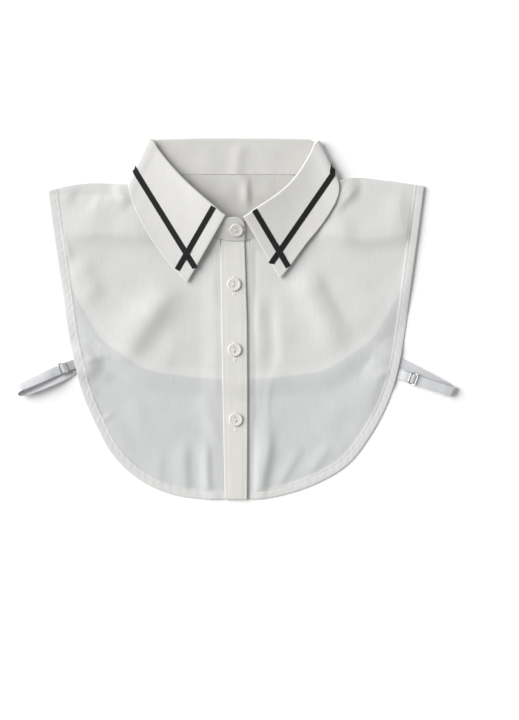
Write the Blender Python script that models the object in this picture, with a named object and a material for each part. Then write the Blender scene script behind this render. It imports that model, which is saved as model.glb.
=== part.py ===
"""Detachable shirt collar with a short front and back, laid flat with its front up.

The garment is a white woven shirt collar on a stand, two short fronts closed by a placket,
a shorter back, black tape on the collar points, and an elastic loop with a slider at each side.
It lies on a flat surface at z = 0, its back panel down. X runs across the shoulders, Y runs from
the hem to the neck, Z is up. The tables and sizes below are in millimetres.

The layers from the surface up: the leaf of the collar behind the neck, the back panel, the two
fronts with the placket, the stand, and the front of the leaf with its tape. Each front is a
patch between four edges: the neckline, the hem, the shoulder and the centre edge. The stand and
the leaf are one flattened ring: a front run, a half turn at the side, and a back run.
"""
import math
from collections import namedtuple

import bpy
import numpy as np

MM = 0.001

# Cloth
WALL = 1.0
STAND_WALL = 1.2
PLACKET_WALL = 1.2
SEAM_GAP = 0.6
BAND_WIDTH = 7.5
BAND_STEP = 0.8
BACK_BAND_RISE = 0.4
FRONT_BAND_RISE = 0.5

# Heights of the layers
FRONT_OVER_BACK = 1.8
BACK_OVER_LEAF = 1.5
OVERLAP_CLIMB = 1.45
HEM_DROP_START = 10.0
HEM_DROP = 14.0
NECK_EASE = 16.0
CLIMB_START_X = -34.0
CLIMB_WIDTH = 17.0
LIFT_START_Y = 100.0
LIFT_WIDTH = 15.0
LIFT_SIDE_X = 113.0
LIFT_SIDE_WIDTH = 13.0
STRAP_HELD_FLAT = 7.0
STRAP_HELD_EASE = 12.0
BAND_FREE_X = 14.6
BAND_FREE_EASE = 3.0

# The flattened ring of the collar
RING_AXIS_Z = 4.1
STAND_TURN = 1.5
LEAF_OFFSET = 2.0
ROLL_RADIUS = 1.0
STAND_TOP = 1.5
LEAF_START = 1.0
STAND_CENTRE_HIGH = 13.0
OVERLAP_STEP = 1.8
STAND_FOOT_SIDE = 5.6
STAND_FOOT_CENTRE = 3.75
STAND_CORNER = 8.0
STAND_CORNER_SHARE = 0.85
FOLD_EASE = 0.8
LEAF_DRAPE = 1.25

# Trim
TAPE_WIDTH = 5.0
TAPE_WALL = 0.6
TAPE_GAP = 0.3
TAPE_CROSS_LIFT = 1.0
TAPE_CROSS_FLAT = 4.5
TAPE_CROSS_EASE = 6.0
BUTTON_RADIUS = 6.2
BUTTON_GAP = 0.3
SEWING_HOLE_RADIUS = 0.85
SEWING_HOLE_OFFSET = 1.9
CUTTER_LENGTH = 6.0
RIBBON_WIDTH = 8.0
RIBBON_WALL = 1.0

# Outlines, each a list of (x, y)
SHOULDER_LEFT = [(-88.0, 128.8), (-90.0, 124.3), (-93.2, 121.6), (-98.0, 121.2),
                 (-135.5, 121.8), (-152.0, 119.4), (-169.0, 115.0)]
SHOULDER_RIGHT = [(85.7, 129.4), (87.4, 124.6), (92.5, 124.2), (99.0, 125.2),
                  (132.8, 123.6), (150.0, 121.9), (168.5, 119.3)]
OUTER_LEFT = [(-169.0, 115.0), (-163.7, 75.2), (-156.2, 24.8), (-147.9, -29.0),
              (-144.4, -42.4), (-140.0, -61.7), (-126.5, -94.5), (-111.6, -121.3),
              (-87.8, -143.6), (-58.1, -157.1), (-34.1, -160.9), (-10.4, -161.6)]
OUTER_RIGHT = [(168.5, 119.3), (163.1, 78.3), (157.5, 36.5), (151.2, -11.2),
               (146.2, -41.0), (138.7, -67.7), (120.8, -103.5), (100.0, -130.3),
               (73.2, -146.7), (49.3, -155.6), (25.5, -160.7), (12.6, -161.6)]
BACK_SHOULDER_RIGHT = [(85.7, 129.4), (87.2, 124.6), (92.5, 124.5), (99.0, 126.2),
                       (132.8, 124.8), (150.0, 122.6), (167.4, 119.6)]
BACK_OUTER = [(-167.6, 114.8), (-162.2, 76.0), (-157.0, 52.0), (-150.5, 34.0), (-134.0, 2.3),
              (-121.0, -17.6), (-103.0, -31.2), (-80.0, -45.0), (-52.6, -50.0),
              (-13.5, -53.6), (0.0, -54.2), (13.5, -53.6), (52.6, -50.0), (80.0, -45.0),
              (103.0, -31.2), (121.0, -17.6), (134.0, 2.3), (150.5, 34.0), (156.6, 54.0),
              (161.6, 78.3), (167.4, 119.6)]
NECK_LEFT = [(-88.0, 128.8), (-65.0, 110.0), (-45.0, 92.2), (-30.0, 80.4), (-14.6, 72.6)]
NECK_RIGHT = [(85.7, 129.4), (66.0, 110.0), (45.0, 91.2), (28.0, 78.6), (12.6, 72.3)]
NECK_LAP_LEFT = [(-14.6, 72.6), (-7.0, 70.9), (0.0, 70.7), (7.4, 70.9)]
NECK_LAP_RIGHT = [(12.6, 72.3), (7.0, 71.3), (0.0, 70.9), (-8.0, 70.9)]
NECK_BACK = [(-88.0, 128.8), (-50.0, 130.4), (0.0, 130.5), (50.0, 130.4), (85.7, 129.4)]
FOLD_LEFT = [(-72.5, 159.0), (-61.3, 141.7), (-45.5, 124.6), (-31.0, 111.4),
             (-21.7, 103.4), (-9.8, 93.9)]
FOLD_RIGHT = [(69.9, 156.6), (63.6, 144.8), (53.2, 128.8), (40.2, 115.5), (27.0, 106.2),
              (16.5, 99.4), (6.4, 92.4)]
FOLD_LAP_LEFT = [(-9.8, 93.9), (-3.0, 91.9), (3.0, 91.2), (7.4, 91.0)]
FOLD_LAP_RIGHT = [(6.4, 92.4), (2.0, 91.3), (-3.0, 91.0), (-8.0, 91.0)]
FOLD_BACK = [(-72.5, 159.0), (-45.0, 161.0), (0.0, 161.4), (42.0, 160.2), (69.9, 156.6)]

# Outer edge of the leaf: where each line from the fold line ends
LeafEdge = namedtuple("LeafEdge", "x y z")
LEAF_LEFT = [LeafEdge(-44.6, 33.3, 5.2), LeafEdge(-54.5, 43.6, 5.3), LeafEdge(-63.9, 54.5, 5.4),
             LeafEdge(-73.2, 67.6, 5.6), LeafEdge(-81.8, 81.3, 6.0), LeafEdge(-89.2, 95.6, 6.5),
             LeafEdge(-94.0, 107.0, 6.8), LeafEdge(-96.0, 115.6, 7.1)]
LEAF_TURN_LEFT = [LeafEdge(-97.0, 119.6, 6.8), LeafEdge(-96.4, 123.0, 5.8),
                  LeafEdge(-94.7, 124.6, 4.1), LeafEdge(-93.5, 124.4, 1.75)]
LEAF_BACK = [LeafEdge(-90.6, 121.6, 0.6), LeafEdge(-80.0, 118.4, 0.6),
             LeafEdge(-40.0, 118.0, 0.6), LeafEdge(0.0, 118.0, 0.6), LeafEdge(40.0, 118.0, 0.6),
             LeafEdge(68.0, 118.4, 0.6), LeafEdge(79.0, 120.2, 0.6), LeafEdge(86.0, 124.5, 0.6)]
LEAF_TURN_RIGHT = [LeafEdge(89.6, 128.3, 1.75), LeafEdge(91.0, 128.8, 4.1),
                   LeafEdge(91.7, 127.0, 5.9), LeafEdge(91.9, 122.6, 6.8)]
LEAF_RIGHT = [LeafEdge(91.2, 116.6, 7.1), LeafEdge(89.0, 105.6, 6.9), LeafEdge(85.0, 96.6, 6.5),
              LeafEdge(76.4, 82.0, 6.0), LeafEdge(66.8, 67.6, 5.6), LeafEdge(57.6, 57.2, 5.4),
              LeafEdge(48.2, 47.6, 5.3), LeafEdge(39.1, 37.2, 5.2)]
TURN_ANGLES = (60.0, 30.0, 0.0, -45.0)
ROLL_ANGLES = (0.0, math.radians(60.0), math.radians(120.0))

# Black tape: the two ends of each centre line, on the leaf
EDGE_TAPE_LEFT = [(-88.0, 128.2), (-36.4, 45.2)]
FRONT_TAPE_LEFT = [(-20.2, 101.0), (-53.2, 44.6)]
EDGE_TAPE_RIGHT = [(85.5, 128.8), (30.6, 49.6)]
FRONT_TAPE_RIGHT = [(15.8, 97.0), (46.2, 47.6)]
TAPE_CROSS_LEFT = (-46.8, 59.7)
TAPE_CROSS_RIGHT = (38.4, 60.9)

# Placket: the x of its edges at the neck and at the hem
PLACKET_TOP_Y = 70.0
PLACKET_FOOT_Y = -161.4
TOP_EDGES_AT_NECK = (-14.0, 7.2)
TOP_EDGES_AT_HEM = (-10.1, 9.3)
UNDER_EDGES_AT_NECK = (-10.0, 12.0)
UNDER_EDGES_AT_HEM = (-6.4, 12.0)

# Button centres, the first one on the stand, and half the button's section as (radius, z)
BUTTON_PLACES = [(0.1, 80.3), (-2.1, 31.6), (-1.5, -27.2), (-0.6, -90.0)]
BUTTON_PROFILE = [(0.0, 0.0), (5.2, 0.0), (BUTTON_RADIUS, 0.9), (BUTTON_RADIUS, 1.7),
                  (5.7, 2.3), (4.8, 2.3), (4.0, 1.7), (0.0, 1.6)]

# Soft folds that the cloth was laid with: a ridge along a line, with its half width and height
Fold = namedtuple("Fold", "x1 y1 x2 y2 half_width height")
LEFT_FOLDS = [
    Fold(-128.0, 80.0, -84.0, 76.0, 15.0, 2.2),
    Fold(-55.0, 19.0, -106.0, -10.0, 15.0, 3.4),
    Fold(-132.0, 52.0, -118.0, 24.0, 14.0, 2.0),
    Fold(-132.0, -34.0, -110.0, -58.0, 13.0, 2.4),
    Fold(-44.0, -112.0, -30.0, -140.0, 11.0, 1.6),
    Fold(-112.0, -112.0, -96.0, -92.0, 12.0, 1.8),
]
RIGHT_FOLDS = [
    Fold(78.0, 80.0, 140.0, 84.0, 15.0, 2.4),
    Fold(47.0, 22.0, 76.0, -16.0, 14.0, 3.2),
    Fold(102.0, 112.0, 112.0, 92.0, 10.0, 1.6),
    Fold(30.0, 12.0, 38.0, -8.0, 11.0, 1.8),
    Fold(46.0, -132.0, 76.0, -116.0, 12.0, 1.8),
    Fold(124.0, -30.0, 104.0, -62.0, 14.0, 2.0),
]

# Elastic loops: centre line of the ribbon, the heading of its width and its lean, in degrees
RibbonPoint = namedtuple("RibbonPoint", "x y z heading lean")
RIBBON_RIGHT = [
    RibbonPoint(124.4, -21.8, 0.5, 46.0, 0.0), RibbonPoint(135.0, -30.6, 0.5, 52.0, 0.0),
    RibbonPoint(147.0, -38.4, 0.5, 58.0, 0.0), RibbonPoint(163.6, -47.7, 0.5, 61.0, 0.0),
    RibbonPoint(180.8, -56.6, 0.5, 63.0, 0.0), RibbonPoint(191.5, -62.2, 0.6, 64.0, 0.0),
    RibbonPoint(195.2, -64.4, 1.6, 65.0, 0.0), RibbonPoint(196.3, -65.2, 2.9, 66.0, 0.0),
    RibbonPoint(195.0, -65.2, 4.2, 67.0, 0.0), RibbonPoint(190.4, -64.0, 4.8, 68.0, 0.0),
    RibbonPoint(180.8, -60.8, 4.4, 69.0, 0.0), RibbonPoint(171.0, -57.6, 3.8, 70.0, 0.0),
    RibbonPoint(164.6, -55.4, 3.1, 70.0, 0.0), RibbonPoint(161.9, -54.4, 3.1, 70.0, 0.0),
    RibbonPoint(158.8, -53.3, 4.1, 70.0, 0.0), RibbonPoint(155.7, -52.2, 3.1, 70.0, 0.0),
    RibbonPoint(152.4, -51.2, 2.6, 72.0, 0.0), RibbonPoint(146.0, -49.4, 0.7, 73.0, 0.0),
    RibbonPoint(139.0, -47.0, 0.5, 72.0, 0.0), RibbonPoint(131.5, -44.6, 0.5, 72.0, 0.0),
]
RIBBON_LEFT = [
    RibbonPoint(-124.0, -22.4, 0.5, 134.0, 0.0), RibbonPoint(-134.0, -33.0, 0.5, 130.0, 0.0),
    RibbonPoint(-145.6, -44.6, 0.6, 122.0, 0.0), RibbonPoint(-157.0, -51.6, 1.9, 119.0, -20.0),
    RibbonPoint(-171.0, -58.4, 3.2, 115.0, -40.0), RibbonPoint(-183.0, -63.2, 3.4, 114.0, -42.0),
    RibbonPoint(-192.6, -65.8, 3.6, 114.0, -42.0), RibbonPoint(-196.4, -65.4, 4.5, 114.0, -42.0),
    RibbonPoint(-197.1, -63.8, 5.6, 114.0, -42.0), RibbonPoint(-195.2, -62.0, 6.2, 114.0, -42.0),
    RibbonPoint(-189.0, -59.0, 6.2, 114.0, -36.0), RibbonPoint(-178.0, -54.0, 5.4, 115.0, -26.0),
    RibbonPoint(-168.0, -49.2, 4.6, 116.0, -10.0), RibbonPoint(-161.8, -46.5, 4.0, 116.0, 0.0),
    RibbonPoint(-158.6, -45.1, 4.0, 116.0, 0.0), RibbonPoint(-155.6, -43.8, 5.0, 116.0, 0.0),
    RibbonPoint(-152.6, -42.6, 4.0, 116.0, 0.0), RibbonPoint(-149.4, -41.4, 3.2, 117.0, 0.0),
    RibbonPoint(-145.0, -39.8, 1.9, 118.0, 0.0), RibbonPoint(-138.0, -37.6, 1.85, 118.0, 0.0),
]
# Sliders: x, y, z of the middle and the heading in degrees
SLIDER_RIGHT = (158.8, -53.3, 3.6, -20.0)
SLIDER_LEFT = (-155.6, -43.8, 4.5, -156.5)
SLIDER_LENGTH = 7.4
SLIDER_WIDTH = 10.6
SLIDER_BAR = 0.9
SLIDER_WALL = 0.8
SLIDER_ARCH = 0.9
SLIDER_PLAY = 0.8
# Strap runs that lie hidden under a front: their ends, and how high the front is held over them
HeldUp = namedtuple("HeldUp", "x1 y1 x2 y2 height")
STRAPS_UNDER_LEFT = [HeldUp(-126.0, -24.0, -146.0, -45.0, 1.9),
                     HeldUp(-138.0, -38.0, -147.0, -41.0, 3.5)]
STRAPS_UNDER_RIGHT = [HeldUp(126.0, -23.0, 148.0, -39.0, 1.9),
                      HeldUp(131.0, -45.0, 147.0, -49.6, 1.9)]

# Grid counts; the rows of a panel lie closer near the neckline, where the cloth bends most
FRONT_COLUMNS = 27
FRONT_ROWS = 16
BACK_COLUMNS = 33
BACK_ROWS = 10
ROW_SPREAD = 1.4
OUTLINE_POINTS = 160
RUN_COLUMNS = 10
LAP_COLUMNS = 5
BEHIND_COLUMNS = 11
STAND_ROWS = 5
LEAF_ROWS = 8
TAPE_STEPS = 17
PLACKET_ROWS = 24
PLACKET_COLUMNS = 4
RIBBON_STEPS = 3
BUTTON_SIDES = 24
SEWING_HOLE_SIDES = 8


def clear_scene():
    for obj in list(bpy.data.objects):
        bpy.data.objects.remove(obj, do_unlink=True)


def make_material(name, colour, roughness, metallic=0.0):
    material = bpy.data.materials.new(name)
    material.use_nodes = True
    shader = material.node_tree.nodes["Principled BSDF"]
    shader.inputs["Base Color"].default_value = (*colour, 1.0)
    shader.inputs["Roughness"].default_value = roughness
    shader.inputs["Metallic"].default_value = metallic
    material.diffuse_color = (*colour, 1.0)
    return material


def ease(t):
    """Smooth step from 0 at t = 0 to 1 at t = 1."""
    t = np.clip(t, 0.0, 1.0)
    return t * t * (3.0 - 2.0 * t)


def smooth_curve(points, count=None, at=None):
    """Points of a smooth curve through the table: cubic pieces with the chord as parameter.

    They are spaced evenly along the curve, or lie at the given fractions of its length.
    """
    points = np.array([tuple(p) for p in points], float)
    chord = np.concatenate([[0.0], np.cumsum(np.linalg.norm(np.diff(points, axis=0), axis=1))])
    slope = np.gradient(points, chord, axis=0)
    fine = np.linspace(0.0, chord[-1], 60 * len(points))
    i = np.clip(np.searchsorted(chord, fine, side="right") - 1, 0, len(chord) - 2)
    span = (chord[i + 1] - chord[i])[:, None]
    t = (fine - chord[i])[:, None] / span
    dense = ((2 * t**3 - 3 * t**2 + 1) * points[i] + (t**3 - 2 * t**2 + t) * span * slope[i]
             + (3 * t**2 - 2 * t**3) * points[i + 1] + (t**3 - t**2) * span * slope[i + 1])
    length = np.concatenate([[0.0], np.cumsum(np.linalg.norm(np.diff(dense, axis=0), axis=1))])
    fractions = np.linspace(0.0, 1.0, count) if at is None else np.asarray(at)
    return np.stack([np.interp(fractions * length[-1], length, dense[:, k])
                     for k in range(points.shape[1])], axis=-1)


def segment_distance(xy, x1, y1, x2, y2):
    """Distance in plan from each point to a line segment."""
    start = np.array([x1, y1])
    along = np.array([x2, y2]) - start
    t = np.clip(((xy - start) @ along) / (along @ along), 0.0, 1.0)
    return np.linalg.norm(xy - start - t[..., None] * along, axis=-1)


def distance_outside(xy, outline):
    """Distance in plan from each point to a closed outline, 0 for a point inside it."""
    flat = xy.reshape(-1, 2)
    nearest = np.full(len(flat), np.inf)
    inside = np.zeros(len(flat), bool)
    for (x1, y1), (x2, y2) in zip(outline, np.roll(outline, -1, axis=0)):
        nearest = np.minimum(nearest, segment_distance(flat, x1, y1, x2, y2))
        if y1 != y2:
            crosses = (y1 > flat[:, 1]) != (y2 > flat[:, 1])
            inside ^= crosses & (flat[:, 0] < (x2 - x1) * (flat[:, 1] - y1) / (y2 - y1) + x1)
    return np.where(inside, 0.0, nearest).reshape(xy.shape[:-1])


def mesh_object(name, points, faces, material):
    """Object from points in millimetres. The faces are turned outwards by the sign of volume."""
    points = np.asarray(points, float)
    volume = 0.0
    for face in faces:
        a = points[face[0]]
        for k in range(1, len(face) - 1):
            volume += np.dot(a, np.cross(points[face[k]], points[face[k + 1]]))
    if volume < 0:
        faces = [face[::-1] for face in faces]
    mesh = bpy.data.meshes.new(name)
    mesh.from_pydata((points * MM).tolist(), [], faces)
    mesh.materials.append(material)
    mesh.shade_smooth()
    mesh.set_sharp_from_angle(angle=math.radians(35))
    obj = bpy.data.objects.new(name, mesh)
    bpy.context.collection.objects.link(obj)
    return obj


def shell(name, low, high, material):
    """Closed solid between two grids of points, each of shape (rows, columns, 3)."""
    rows, columns = low.shape[:2]
    count = rows * columns
    index = np.arange(count).reshape(rows, columns)
    faces = []
    for r in range(rows - 1):
        for c in range(columns - 1):
            quad = [index[r, c], index[r, c + 1], index[r + 1, c + 1], index[r + 1, c]]
            faces.append([int(k) + count for k in quad])
            faces.append([int(k) for k in reversed(quad)])
    rim = [index[0, c] for c in range(columns)]
    rim += [index[r, columns - 1] for r in range(1, rows)]
    rim += [index[rows - 1, c] for c in range(columns - 2, -1, -1)]
    rim += [index[r, 0] for r in range(rows - 2, 0, -1)]
    for a, b in zip(rim, rim[1:] + rim[:1]):
        faces.append([int(a), int(b), int(b) + count, int(a) + count])
    points = np.concatenate([low.reshape(-1, 3), high.reshape(-1, 3)])
    return mesh_object(name, points, faces, material)


def grid_normals(grid):
    """Unit normal at each point of a grid, from its neighbours along both ways."""
    normal = np.cross(np.gradient(grid, axis=1), np.gradient(grid, axis=0))
    return normal / np.linalg.norm(normal, axis=-1, keepdims=True)


def patch(inner, outer, first, last, across, along):
    """Points in plan of a patch between four edges, blended from all four (a Coons patch).

    across holds each column's fraction along the inner and outer edges, along each point's
    fraction from the inner to the outer edge.
    """
    a = smooth_curve(inner, at=across)[None]
    b = smooth_curve(outer, at=across)[None]
    c = smooth_curve(first, at=along.ravel()).reshape(*along.shape, 2)
    d = smooth_curve(last, at=along.ravel()).reshape(*along.shape, 2)
    t = across[None, :, None]
    w = along[..., None]
    corners = ((1 - w) * ((1 - t) * a[:, :1] + t * a[:, -1:])
               + w * ((1 - t) * b[:, :1] + t * b[:, -1:]))
    return (1 - w) * a + w * b + (1 - t) * c + t * d - corners


def rows_with_band(inner, outer, across, body_rows):
    """Fractions along each column, with two last rows that hold the hem band."""
    a = smooth_curve(inner, at=across)
    b = smooth_curve(outer, at=across)
    ray = b - a
    length = np.linalg.norm(ray, axis=1)
    edge = np.gradient(b, axis=0)
    edge /= np.linalg.norm(edge, axis=1, keepdims=True)
    square = np.abs(ray[:, 0] * edge[:, 1] - ray[:, 1] * edge[:, 0]) / length
    band = BAND_WIDTH / np.maximum(square, 0.6) / length
    step = BAND_STEP / length
    body = np.linspace(0.0, 1.0, body_rows)[:, None] ** ROW_SPREAD * (1.0 - band - step)[None]
    return np.concatenate([body, (1.0 - band)[None], np.ones((1, len(across)))])


def back_lift(xy):
    """How high the back panel is held by the leaf that lies under it behind the neck."""
    behind = ease((xy[..., 1] - LIFT_START_Y) / LIFT_WIDTH)
    between = ease((LIFT_SIDE_X - abs(xy[..., 0])) / LIFT_SIDE_WIDTH)
    return BACK_OVER_LEAF * behind * between


def front_base(xy, folds, straps):
    """Height of a front's underside: over the back panel, down past its hem, up over folds."""
    away = distance_outside(xy, smooth_curve(BACK_OUTER, OUTLINE_POINTS))
    base = FRONT_OVER_BACK * (1.0 - ease((away - HEM_DROP_START) / HEM_DROP)) + back_lift(xy)
    for strap in straps:
        near = segment_distance(xy, *strap[:4])
        held = 1.0 - ease((near - STRAP_HELD_FLAT) / STRAP_HELD_EASE)
        base = np.maximum(base, strap.height * held)
    for fold in folds:
        near = segment_distance(xy, *fold[:4])
        base = base + fold.height * (1.0 - ease(near / fold.half_width))
    return base


def front_panel(name, neck, outer, shoulder, centre_edge, foot, folds, straps, climb, material):
    """One front: its neckline meets the foot of the stand, its hem band is raised."""
    across = np.linspace(0.0, 1.0, FRONT_COLUMNS)
    along = rows_with_band(neck, outer, across, FRONT_ROWS)
    xy = patch(neck, outer, shoulder, centre_edge, across, along)
    inward = xy[1] - xy[0]
    inward /= np.linalg.norm(inward, axis=-1, keepdims=True)
    xy[0] += inward * SEAM_GAP
    mid = front_base(xy, folds, straps) + WALL / 2
    if climb:
        mid += OVERLAP_CLIMB * ease((xy[..., 0] - CLIMB_START_X) / CLIMB_WIDTH)
    rise = foot(across) - mid[0]
    from_neck = np.linalg.norm(xy - xy[:1], axis=-1)
    mid += rise * (1.0 - ease(from_neck / NECK_EASE))
    band = np.zeros_like(mid)
    beside = (abs(xy[-2:, :, 0]) - BAND_FREE_X) / BAND_FREE_EASE
    band[-2:] = FRONT_BAND_RISE * np.clip(beside, 0.0, 1.0)
    low = np.dstack([xy, mid - WALL / 2])
    high = np.dstack([xy, mid + WALL / 2 + band])
    shell(name, low, high, material)


def back_panel(material):
    """The back: held up by the leaf behind the neck, its hem band raised on the upper side."""
    across = np.linspace(0.0, 1.0, BACK_COLUMNS)
    along = rows_with_band(NECK_BACK, BACK_OUTER, across, BACK_ROWS)
    first = SHOULDER_LEFT[:-1] + [BACK_OUTER[0]]
    xy = patch(NECK_BACK, BACK_OUTER, first, BACK_SHOULDER_RIGHT, across, along)
    inward = xy[1] - xy[0]
    inward /= np.linalg.norm(inward, axis=-1, keepdims=True)
    xy[0] += inward * SEAM_GAP
    mid = back_lift(xy) + WALL / 2
    rise = (RING_AXIS_Z - STAND_TURN) - mid[0]
    from_neck = np.linalg.norm(xy - xy[:1], axis=-1)
    mid += rise * (1.0 - ease(from_neck / NECK_EASE))
    band = np.zeros_like(mid)
    band[-2:] = BACK_BAND_RISE
    low = np.dstack([xy, mid - WALL / 2])
    high = np.dstack([xy, mid + WALL / 2 + band])
    shell("back_panel", low, high, material)


def turn(axis_fold, axis_neck):
    """Points on the half turn at the side, at the fold line and at the neck seam."""
    axis_fold = np.array([*axis_fold, RING_AXIS_Z])
    axis_neck = np.array([*axis_neck, RING_AXIS_Z])
    down = axis_neck - axis_fold
    down /= np.linalg.norm(down)
    out = np.array([down[1], -down[0], 0.0])
    out *= np.sign(out[0] * axis_fold[0])
    angles = np.radians(TURN_ANGLES)[:, None]
    ring = STAND_TURN * (np.cos(angles) * out + np.sin(angles) * np.array([0.0, 0.0, 1.0]))
    return axis_fold + ring, axis_neck + ring


def stand_fold_z(t, top):
    """Height of the fold line along a front run, from the side (t = 0) to the centre (t = 1)."""
    side = RING_AXIS_Z + STAND_TURN
    return side + (top - side) * ease(t) ** FOLD_EASE


def stand_foot_left(t):
    """Height of the neck seam of the left front, from the side to the centre."""
    return STAND_FOOT_SIDE + (STAND_FOOT_CENTRE + OVERLAP_CLIMB - STAND_FOOT_SIDE) * ease(t)


def stand_foot_right(t):
    """Height of the neck seam of the right front, from the side to the centre."""
    return STAND_FOOT_SIDE + (STAND_FOOT_CENTRE - STAND_FOOT_SIDE) * ease(t)


def ring_lines():
    """Fold line and neck seam of the stand, all round, from the left lap to the right lap."""
    t = np.linspace(0.0, 1.0, RUN_COLUMNS)
    lap = np.linspace(0.0, 1.0, LAP_COLUMNS + 1)[1:]
    back_z = RING_AXIS_Z - STAND_TURN
    right_top = STAND_CENTRE_HIGH - OVERLAP_STEP
    fold_left = np.column_stack([smooth_curve(FOLD_LEFT, at=t),
                                 stand_fold_z(t, STAND_CENTRE_HIGH)])
    neck_left = np.column_stack([smooth_curve(NECK_LEFT, at=t), stand_foot_left(t)])
    fold_lap_l = np.column_stack([smooth_curve(FOLD_LAP_LEFT, at=lap),
                                  np.full(LAP_COLUMNS, STAND_CENTRE_HIGH)])
    neck_lap_l = np.column_stack([smooth_curve(NECK_LAP_LEFT, at=lap),
                                  np.full(LAP_COLUMNS, stand_foot_left(1.0))])
    fold_right = np.column_stack([smooth_curve(FOLD_RIGHT, at=t), stand_fold_z(t, right_top)])
    neck_right = np.column_stack([smooth_curve(NECK_RIGHT, at=t), stand_foot_right(t)])
    fold_lap_r = np.column_stack([smooth_curve(FOLD_LAP_RIGHT, at=lap),
                                  np.full(LAP_COLUMNS, right_top)])
    neck_lap_r = np.column_stack([smooth_curve(NECK_LAP_RIGHT, at=lap),
                                  np.full(LAP_COLUMNS, stand_foot_right(1.0))])
    across = np.linspace(0.0, 1.0, BEHIND_COLUMNS)
    behind_z = np.full(BEHIND_COLUMNS, back_z)
    fold_back = np.column_stack([smooth_curve(FOLD_BACK, at=across), behind_z])
    neck_back = np.column_stack([smooth_curve(NECK_BACK, at=across), behind_z])
    fold_turn_l, neck_turn_l = turn(FOLD_LEFT[0], NECK_LEFT[0])
    fold_turn_r, neck_turn_r = turn(FOLD_RIGHT[0], NECK_RIGHT[0])
    fold = [fold_lap_l[::-1], fold_left[::-1], fold_turn_l, fold_back, fold_turn_r[::-1],
            fold_right, fold_lap_r]
    neck = [neck_lap_l[::-1], neck_left[::-1], neck_turn_l, neck_back, neck_turn_r[::-1],
            neck_right, neck_lap_r]
    return np.concatenate(fold), np.concatenate(neck)


def collar_stand(fold, neck, material):
    """The stand: a wall between the fold line and the neck seam, with rounded top corners."""
    down = neck - fold
    height = np.linalg.norm(down, axis=1, keepdims=True)
    down /= height
    ends = np.array([np.linalg.norm(fold[:, :2] - fold[k, :2], axis=1) for k in (0, -1)])
    short = np.clip(STAND_CORNER - ends.min(axis=0), 0.0, STAND_CORNER)
    short[LAP_COLUMNS + 3:-LAP_COLUMNS - 3] = 0.0
    corner = STAND_CORNER - np.sqrt(STAND_CORNER**2 - short**2)
    start = STAND_TOP + STAND_CORNER_SHARE * corner[:, None]
    rows = np.linspace(0.0, 1.0, STAND_ROWS)[:, None, None]
    mid = fold + down * (start + (height - start) * rows)
    normals = grid_normals(mid)
    out = normals * STAND_WALL / 2
    shell("collar_stand", mid - out, mid + out, material)
    return mid, normals


def leaf_grid(fold, neck):
    """Middle surface of the leaf and its normals.

    It starts as a half turn over the fold line, then runs in straight lines to its edge.
    """
    fold = fold[LAP_COLUMNS:-LAP_COLUMNS]
    neck = neck[LAP_COLUMNS:-LAP_COLUMNS]
    edge = np.concatenate([
        smooth_curve(LEAF_LEFT, RUN_COLUMNS), np.array(LEAF_TURN_LEFT),
        smooth_curve(LEAF_BACK, BEHIND_COLUMNS), np.array(LEAF_TURN_RIGHT),
        smooth_curve(LEAF_RIGHT, RUN_COLUMNS)])
    out = np.cross(np.gradient(fold, axis=0), neck - fold)
    out /= np.linalg.norm(out, axis=1, keepdims=True)
    down = edge - fold
    down -= out * np.sum(down * out, axis=1, keepdims=True)
    down /= np.linalg.norm(down, axis=1, keepdims=True)
    hub = fold + down * LEAF_START + out * ROLL_RADIUS
    away = [-math.sin(angle) * down - math.cos(angle) * out for angle in ROLL_ANGLES]
    roll = np.array([hub + ROLL_RADIUS * direction for direction in away])
    top = fold + down * LEAF_START + out * LEAF_OFFSET
    rows = []
    for w in np.linspace(0.0, 1.0, LEAF_ROWS):
        row = top + (edge - top) * w
        row[:, 2] = edge[:, 2] + (top[:, 2] - edge[:, 2]) * (1.0 - w) ** LEAF_DRAPE
        rows.append(row)
    rows = np.array(rows)
    return np.concatenate([roll, rows]), np.concatenate([np.array(away), grid_normals(rows)])


def surface_point(grid, row, column):
    """Point of a grid at a fractional row and column."""
    r = min(max(row, 0.0), grid.shape[0] - 1.001)
    c = min(max(column, 0.0), grid.shape[1] - 1.001)
    i, j = int(r), int(c)
    a, b = r - i, c - j
    return ((1 - a) * (1 - b) * grid[i, j] + (1 - a) * b * grid[i, j + 1]
            + a * (1 - b) * grid[i + 1, j] + a * b * grid[i + 1, j + 1])


def find_on_surface(grid, normals, xy, columns):
    """Point and normal of the grid straight above a point in plan, by Newton's steps."""
    first = float(len(ROLL_ANGLES))
    near = np.linalg.norm(grid[len(ROLL_ANGLES):, columns, :2] - xy, axis=-1)
    i, j = np.unravel_index(near.argmin(), near.shape)
    row, column = i + first, float(columns.start + j)
    for _ in range(12):
        here = surface_point(grid, row, column)[:2]
        by_row = (surface_point(grid, row + 0.01, column)[:2]
                  - surface_point(grid, row - 0.01, column)[:2]) / 0.02
        by_column = (surface_point(grid, row, column + 0.01)[:2]
                     - surface_point(grid, row, column - 0.01)[:2]) / 0.02
        step = np.linalg.lstsq(np.column_stack([by_row, by_column]), xy - here, rcond=None)[0]
        row = min(max(row + step[0], first), grid.shape[0] - 1.01)
        column = min(max(column + step[1], columns.start), columns.stop - 1.01)
    return surface_point(grid, row, column), surface_point(normals, row, column)


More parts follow.
